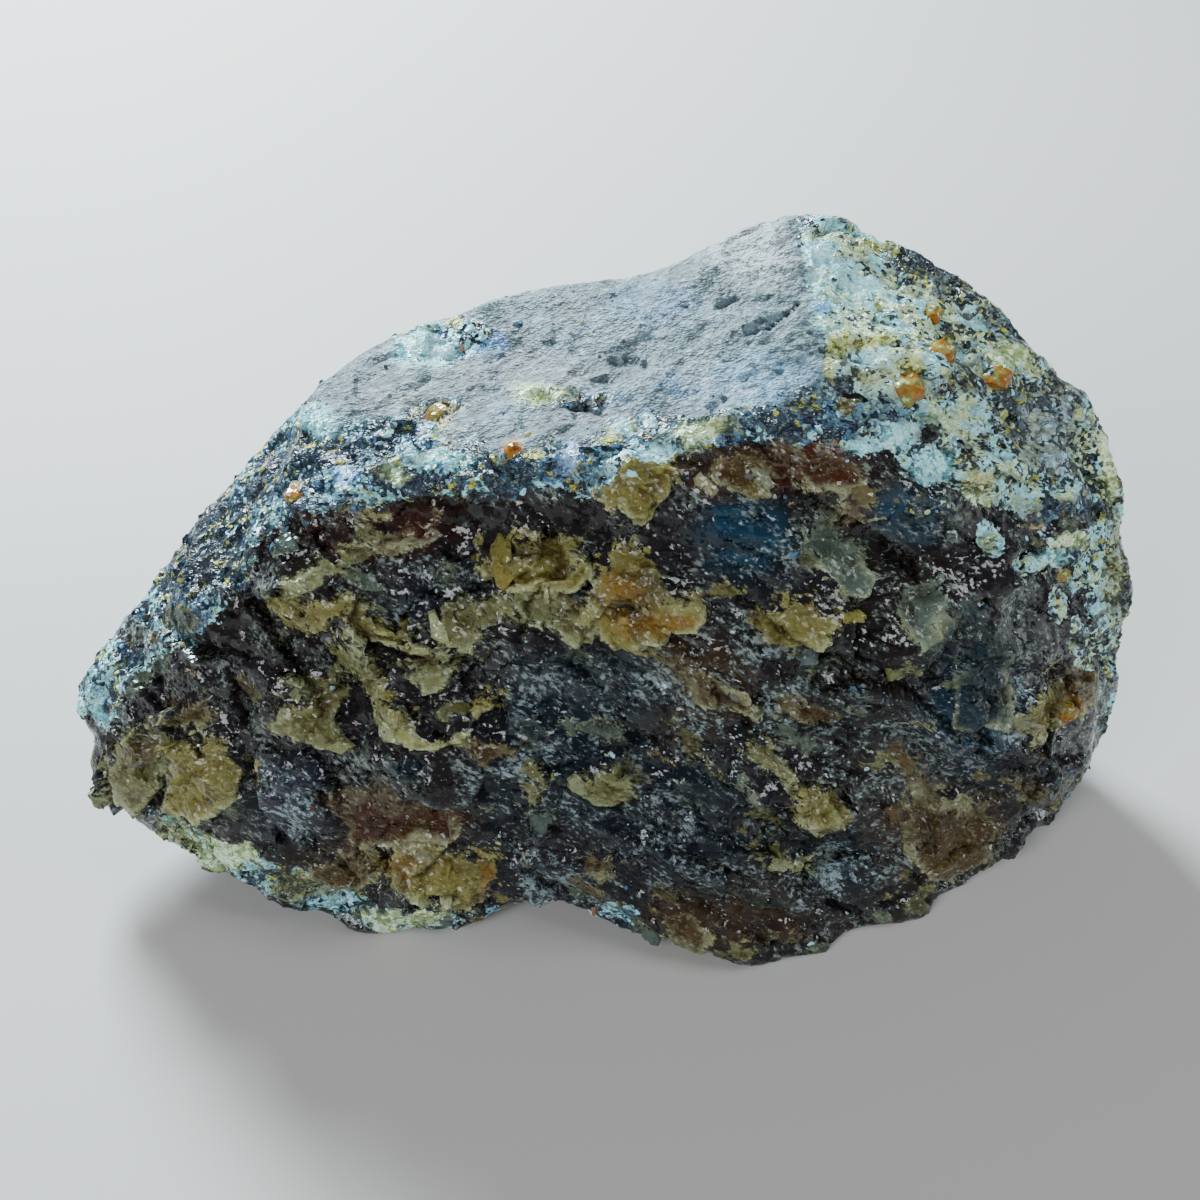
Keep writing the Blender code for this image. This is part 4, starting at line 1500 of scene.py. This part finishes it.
class AmberColours(bpy.types.PropertyGroup):
    """Colours of the amber and its crust."""

    black: colour_property("Black", "Darkest facets", (0.007, 0.008, 0.010))
    dark_brown: colour_property("Dark brown", "Dark clear amber", (0.018, 0.013, 0.012))
    dark_blue: colour_property("Dark blue", "Blue-black amber", (0.006, 0.011, 0.017))
    navy: colour_property("Navy", "Dark blue of the rim", (0.012, 0.036, 0.082))
    dark_violet: colour_property("Dark violet", "Dark amber, violet cast", (0.018, 0.014, 0.018))
    dark_red: colour_property("Dark red", "Dark amber, red cast", (0.045, 0.014, 0.008))
    deep_blue: colour_property("Deep blue", "Blue hollows", (0.009, 0.052, 0.098))
    recess_blue: colour_property("Recess blue", "Slate amber of the recess", (0.014, 0.024, 0.032))
    violet_blue: colour_property("Violet blue", "Glittering violet amber", (0.034, 0.034, 0.056))
    umber: colour_property("Umber", "Brown amber", (0.052, 0.030, 0.013))
    haze: colour_property("Haze", "Grey-green veils in the dark amber", (0.250, 0.320, 0.345))
    veil: colour_property("Veil", "Olive veils in the dark amber", (0.240, 0.285, 0.265))
    # Also the tint of the painted shade in the hollows and towards the plates' tops.
    deep_and_shade: colour_property("Deep", "Tint of the plates' deeper parts", (0.34, 0.25, 0.14))
    gold: colour_property("Gold", "Golden plates", (0.275, 0.250, 0.062))
    olive: colour_property("Olive", "Olive plates", (0.200, 0.208, 0.078))
    brown: colour_property("Brown", "Brown plates", (0.110, 0.066, 0.022))
    red: colour_property("Red", "Red glow in the amber", (0.080, 0.022, 0.006))
    glow: colour_property("Glow", "Orange glow in the plates", (0.310, 0.165, 0.016))
    orange: colour_property("Orange", "Orange beads", (0.38, 0.125, 0.010))
    misty: colour_property("Misty", "Cloudy grey-green plates", (0.108, 0.160, 0.135))
    teal: colour_property("Teal", "Blue-green facet", (0.012, 0.034, 0.054))
    # Painted highlight along the plates' feet and edges.
    plate_edge_highlight: colour_property("Plate edge", "Light edges of the plates", (0.46, 0.52, 0.31))
    inside: colour_property("Inside", "Light that the amber lets through", (0.78, 0.38, 0.08))
    crust: colour_property("Crust", "Grey crust", (0.100, 0.166, 0.194))
    crust_violet: colour_property("Violet crust", "Crust with a violet cast", (0.140, 0.168, 0.190))
    crust_shade: colour_property("Crust shade", "Darker crust", (0.078, 0.118, 0.138))
    crust_blue: colour_property("Blue crust", "Bluish crust", (0.072, 0.148, 0.240))
    # Also the colour of the painted shade in the crust's hollows.
    crust_dark: colour_property("Dark crust", "Dark grit in the crust", (0.028, 0.035, 0.044))
    crust_light: colour_property("Light crust", "Light dust on the crust", (0.34, 0.42, 0.44))
    rim_grey: colour_property("Rim grey", "Grey ground of the rim", (0.022, 0.055, 0.094))
    ice_white: colour_property("Ice white", "White flecks with a cyan cast", (0.42, 0.90, 0.96))
    # Painted highlight: the colour of the tiny glints on the amber.
    glint: colour_property("Glint", "Tiny white specks on the amber", (0.42, 0.60, 0.66))
    ice_blue: colour_property("Ice blue", "Pale blue crust", (0.150, 0.310, 0.450))
    cream: colour_property("Cream", "Cream flecks", (0.68, 0.84, 0.44))
    blue: colour_property("Blue", "Blue spots of the rim", (0.050, 0.190, 0.420))
    blue_white: colour_property("Blue white", "Bright blue glints", (0.28, 0.48, 0.80))
    # Also the painted shade in the gaps between crumbs.
    dark_fleck_and_gap_shade: colour_property("Dark flecks", "Dark gaps in the grains", (0.008, 0.018, 0.032))
    fleck_yellow: colour_property("Yellow flecks", "Yellow grains", (0.440, 0.440, 0.060))
    fleck_blue: colour_property("Blue flecks", "Blue grains", (0.040, 0.145, 0.290))
    warm: colour_property("Warm crust", "Ground of the warm crust", (0.150, 0.185, 0.165))


def lump_object():
    """The finished lump, which the small pieces lie on."""
    if LUMP not in bpy.data.objects:
        raise RuntimeError("make the lump before what lies on it")
    return bpy.data.objects[LUMP]


def lump_skin():
    """The finished lump's skin, read back with its layers."""
    mesh = lump_object().data
    layers = {}
    for name in ("crust", "covered", "warm", "plate"):
        values = np.empty(len(mesh.vertices), np.float32)
        mesh.attributes[name].data.foreach_get("value", values)
        layers[name] = values.astype(float)
    colours = {}
    for name in ("plate_colour", "dark_colour", "crust_colour"):
        values = np.empty(len(mesh.vertices) * 4, np.float32)
        mesh.attributes[name].data.foreach_get("color", values)
        colours[name] = values.reshape(-1, 4)[:, :3].astype(float)
    return Skin(mesh, layers, colours)


class OBJECT_OT_amber_lump(bpy.types.Operator):
    """Make the lump with its relief and finish"""

    bl_idname = "object.amber_lump"
    bl_label = "Lump"

    def execute(self, context):
        sizes = context.scene.amber_sizes
        colours = context.scene.amber_colours
        mesh = weathered_lump(sizes, colours)
        piece = add_piece(LUMP, mesh, lump_material(colours, sizes))
        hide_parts(NODE)
        return {"FINISHED"}


class OBJECT_OT_amber_flakes(bpy.types.Operator):
    """Lay chips of clear amber on the broken front"""

    bl_idname = "object.amber_flakes"
    bl_label = "Flakes"

    def execute(self, context):
        sizes = context.scene.amber_sizes
        colours = context.scene.amber_colours
        skin = lump_skin()
        bare = 1.0 - skin.layers["covered"]
        weights = bare * (0.12 + skin.layers["plate"])
        material = small_piece_material("amber_flake", colours, "flake_colour", 0.25, 0.18)
        counts = {"small_flakes": sizes.flakes, "large_flakes": sizes.large_flakes}
        for number, (name, (reach, thickness, corners)) in enumerate(FLAKES.items()):
            random = np.random.default_rng(SEED + 100 + number)
            count = counts[name]
            spots, normals, picks = skin.scatter(count, weights ** (1 + number), random)
            points = flake_points(
                spots, normals, random.uniform(*reach, count), random.uniform(*thickness, count),
                random.uniform(0.1, 0.4, count), random, corners)
            mesh = joined_mesh(name, points, flake_faces(corners))
            plated = skin.layer_at("plate", picks)[:, None] > 0.3
            tone = np.where(
                plated, skin.colour_at("plate_colour", picks), skin.colour_at("dark_colour", picks))
            tone = tone * random.normal(1.0, 0.2, (count, 1))
            hazy = random.uniform(0.0, 1.0, (count, 1)) < 0.12
            tone = np.where(hazy, 0.7 * tone + 0.3 * np.array(colours.haze), tone)
            tone = np.clip(tone, 0.0, 1.0)
            write_colours(mesh, "flake_colour", np.repeat(tone, points.shape[1], axis=0))
            add_piece(name, mesh, material)
        return {"FINISHED"}


class OBJECT_OT_crust_grains(bpy.types.Operator):
    """Lay angular grains on the rim and the warm crust"""

    bl_idname = "object.crust_grains"
    bl_label = "Grains"

    def execute(self, context):
        sizes = context.scene.amber_sizes
        colours = context.scene.amber_colours
        skin = lump_skin()
        random = np.random.default_rng(SEED + 200)
        weights = skin.layers["covered"] * (1.0 - 0.95 * skin.layers["crust"]) + 0.02
        spots, normals, picks = skin.scatter(sizes.grains, weights, random)
        reach = 0.13 + 0.40 * random.uniform(0.0, 1.0, sizes.grains) ** 3
        points = grain_points(spots, normals, reach, random)
        _, faces = grain_template()
        mesh = joined_mesh("crust_grains", points, faces)
        cool = picked_colours(
            [(colours.ice_white, 2.5), (colours.rim_grey, 3.0), (colours.dark_fleck_and_gap_shade, 4.0),
             (colours.fleck_yellow, 1.2), (colours.fleck_blue, 1.5), (colours.orange, 0.15)],
            random, sizes.grains)
        warm = picked_colours(
            [(colours.cream, 2.5), (colours.ice_white, 1.8), (colours.fleck_yellow, 1.6),
             (colours.orange, 0.3), (colours.crust_dark, 3.0), (colours.rim_grey, 2.0)],
            random, sizes.grains)
        is_warm = skin.layer_at("warm", picks) > 0.5
        own = np.where(is_warm[:, None], warm, cool)
        tone = 0.6 * own + 0.4 * skin.colour_at("crust_colour", picks)
        write_colours(mesh, "grain_colour", np.repeat(tone, points.shape[1], axis=0))
        material = small_piece_material("crust_grain", colours, "grain_colour", 0.0, 0.42)
        add_piece("crust_grains", mesh, material)
        return {"FINISHED"}


class OBJECT_OT_amber_beads(bpy.types.Operator):
    """Set beads of orange amber in the crust"""

    bl_idname = "object.amber_beads"
    bl_label = "Beads"

    def execute(self, context):
        skin = lump_skin()
        places = photo_place(skin.spots)
        towards = skin.spots @ LOOK
        work = bmesh.new()
        for name, (middle, radius) in BEADS.items():
            away = np.linalg.norm(places - np.array(middle, float), axis=1)
            near = np.flatnonzero(away < radius)
            if not len(near):
                raise RuntimeError(f"{name} lies off the lump")
            nearest = near[np.argsort(towards[near])[:12]]
            spot = skin.spots[nearest].mean(axis=0)
            reach = radius / PIXELS_PER_MM
            made = bmesh.ops.create_icosphere(work, subdivisions=3, radius=reach)
            ball = np.array([vertex.co for vertex in made["verts"]])
            shape = ball * (1.0 + 0.30 * rough_noise(ball + spot, 1.1, SEED + 81))[:, None]
            shape += ball * tilted_facets(ball + spot, 1.0, 0.25, 0.08, SEED + 83)[:, None] / reach
            shape[:, 2] *= BEAD_FLATNESS
            shape += spot + LOOK * BEAD_SINK * reach
            for vertex, place in zip(made["verts"], shape / MM):
                vertex.co = place
        mesh = bpy.data.meshes.new("amber_beads")
        work.to_mesh(mesh)
        work.free()
        add_piece("amber_beads", mesh, bead_material(context.scene.amber_colours))
        return {"FINISHED"}


class OBJECT_OT_amber_stage(bpy.types.Operator):
    """Add the floor, the lights and the camera"""

    bl_idname = "object.amber_stage"
    bl_label = "Stage"

    def execute(self, context):
        add_floor()
        for name, place, energy, size, colour in LIGHTS:
            add_light(name, place, energy, size, colour)
        add_sky()
        add_camera(context.scene)
        return {"FINISHED"}


def add_floor():
    """A plain pale floor."""
    mesh = bpy.data.meshes.new("floor")
    side = FLOOR_HALF_SIDE
    corners = [(-side, -side, 0.0), (side, -side, 0.0), (side, side, 0.0), (-side, side, 0.0)]
    mesh.from_pydata(corners, [], [(0, 1, 2, 3)])
    finish = Finish("pale_floor")
    mesh.materials.append(finish.done(finish.add("ShaderNodeBsdfPrincipled", {}, {
        "Base Color": FLOOR_COLOUR, "Roughness": 0.7})))
    floor = bpy.data.objects.new("floor", mesh)
    bpy.context.scene.collection.objects.link(floor)


def add_light(name, place, energy, size, colour):
    """A soft square light that shines at the lump."""
    light = bpy.data.lights.new(name, "AREA")
    light.shape = "SQUARE"
    light.energy = energy
    light.size = size
    light.color = colour
    lamp = bpy.data.objects.new(name, light)
    lamp.location = place
    direction = -lamp.location.copy()
    direction.z += LIGHTS_AIM_HEIGHT
    lamp.rotation_euler = direction.to_track_quat("-Z", "Y").to_euler()
    bpy.context.scene.collection.objects.link(lamp)


def add_sky():
    """Even light from all sides."""
    world = bpy.data.worlds.new("room_light")
    world.use_nodes = True
    background = world.node_tree.nodes["Background"]
    background.inputs["Color"].default_value = SKY_COLOUR
    background.inputs["Strength"].default_value = SKY_STRENGTH
    bpy.context.scene.world = world


def add_camera(scene):
    """The camera, at the photograph's viewpoint."""
    lens = bpy.data.cameras.new("camera")
    lens.sensor_width = SENSOR_WIDTH
    lens.lens = FOCAL_PIXELS / PHOTO_SIDE * SENSOR_WIDTH
    lens.clip_start = 0.01
    camera = bpy.data.objects.new("camera", lens)
    camera.location = CAMERA_PLACE / MM
    camera.rotation_euler = (math.radians(90.0) - CAMERA_ELEVATION, 0.0, 0.0)
    scene.collection.objects.link(camera)
    scene.camera = camera


PIECE_OPERATORS = (
    OBJECT_OT_amber_lump,
    OBJECT_OT_amber_flakes,
    OBJECT_OT_crust_grains,
    OBJECT_OT_amber_beads,
    OBJECT_OT_amber_stage,
)


class VIEW3D_PT_raw_amber(bpy.types.Panel):
    """The lump's sizes, colours and pieces"""

    bl_label = "Raw amber"
    bl_space_type = "VIEW_3D"
    bl_region_type = "UI"
    bl_category = "Raw amber"

    def draw(self, context):
        for group in (context.scene.amber_sizes, context.scene.amber_colours):
            column = self.layout.column()
            for name in group.bl_rna.properties.keys():
                if name not in ("name", "rna_type"):
                    column.prop(group, name)
        for operator in PIECE_OPERATORS:
            self.layout.operator(operator.bl_idname)


CLASSES = (AmberSizes, AmberColours) + PIECE_OPERATORS + (VIEW3D_PT_raw_amber,)


def register():
    """Adds the classes and the scene's own sizes and colours."""
    for entry in CLASSES:
        bpy.utils.register_class(entry)
    bpy.types.Scene.amber_sizes = PointerProperty(type=AmberSizes)
    bpy.types.Scene.amber_colours = PointerProperty(type=AmberColours)


def unregister():
    """Takes them away again."""
    del bpy.types.Scene.amber_colours
    del bpy.types.Scene.amber_sizes
    for entry in reversed(CLASSES):
        bpy.utils.unregister_class(entry)


def main():
    """Makes the finished lump and its stage."""
    register()
    bpy.ops.object.amber_lump()
    bpy.ops.object.amber_flakes()
    bpy.ops.object.crust_grains()
    bpy.ops.object.amber_beads()
    bpy.ops.object.amber_stage()


if __name__ == "__main__":
    main()
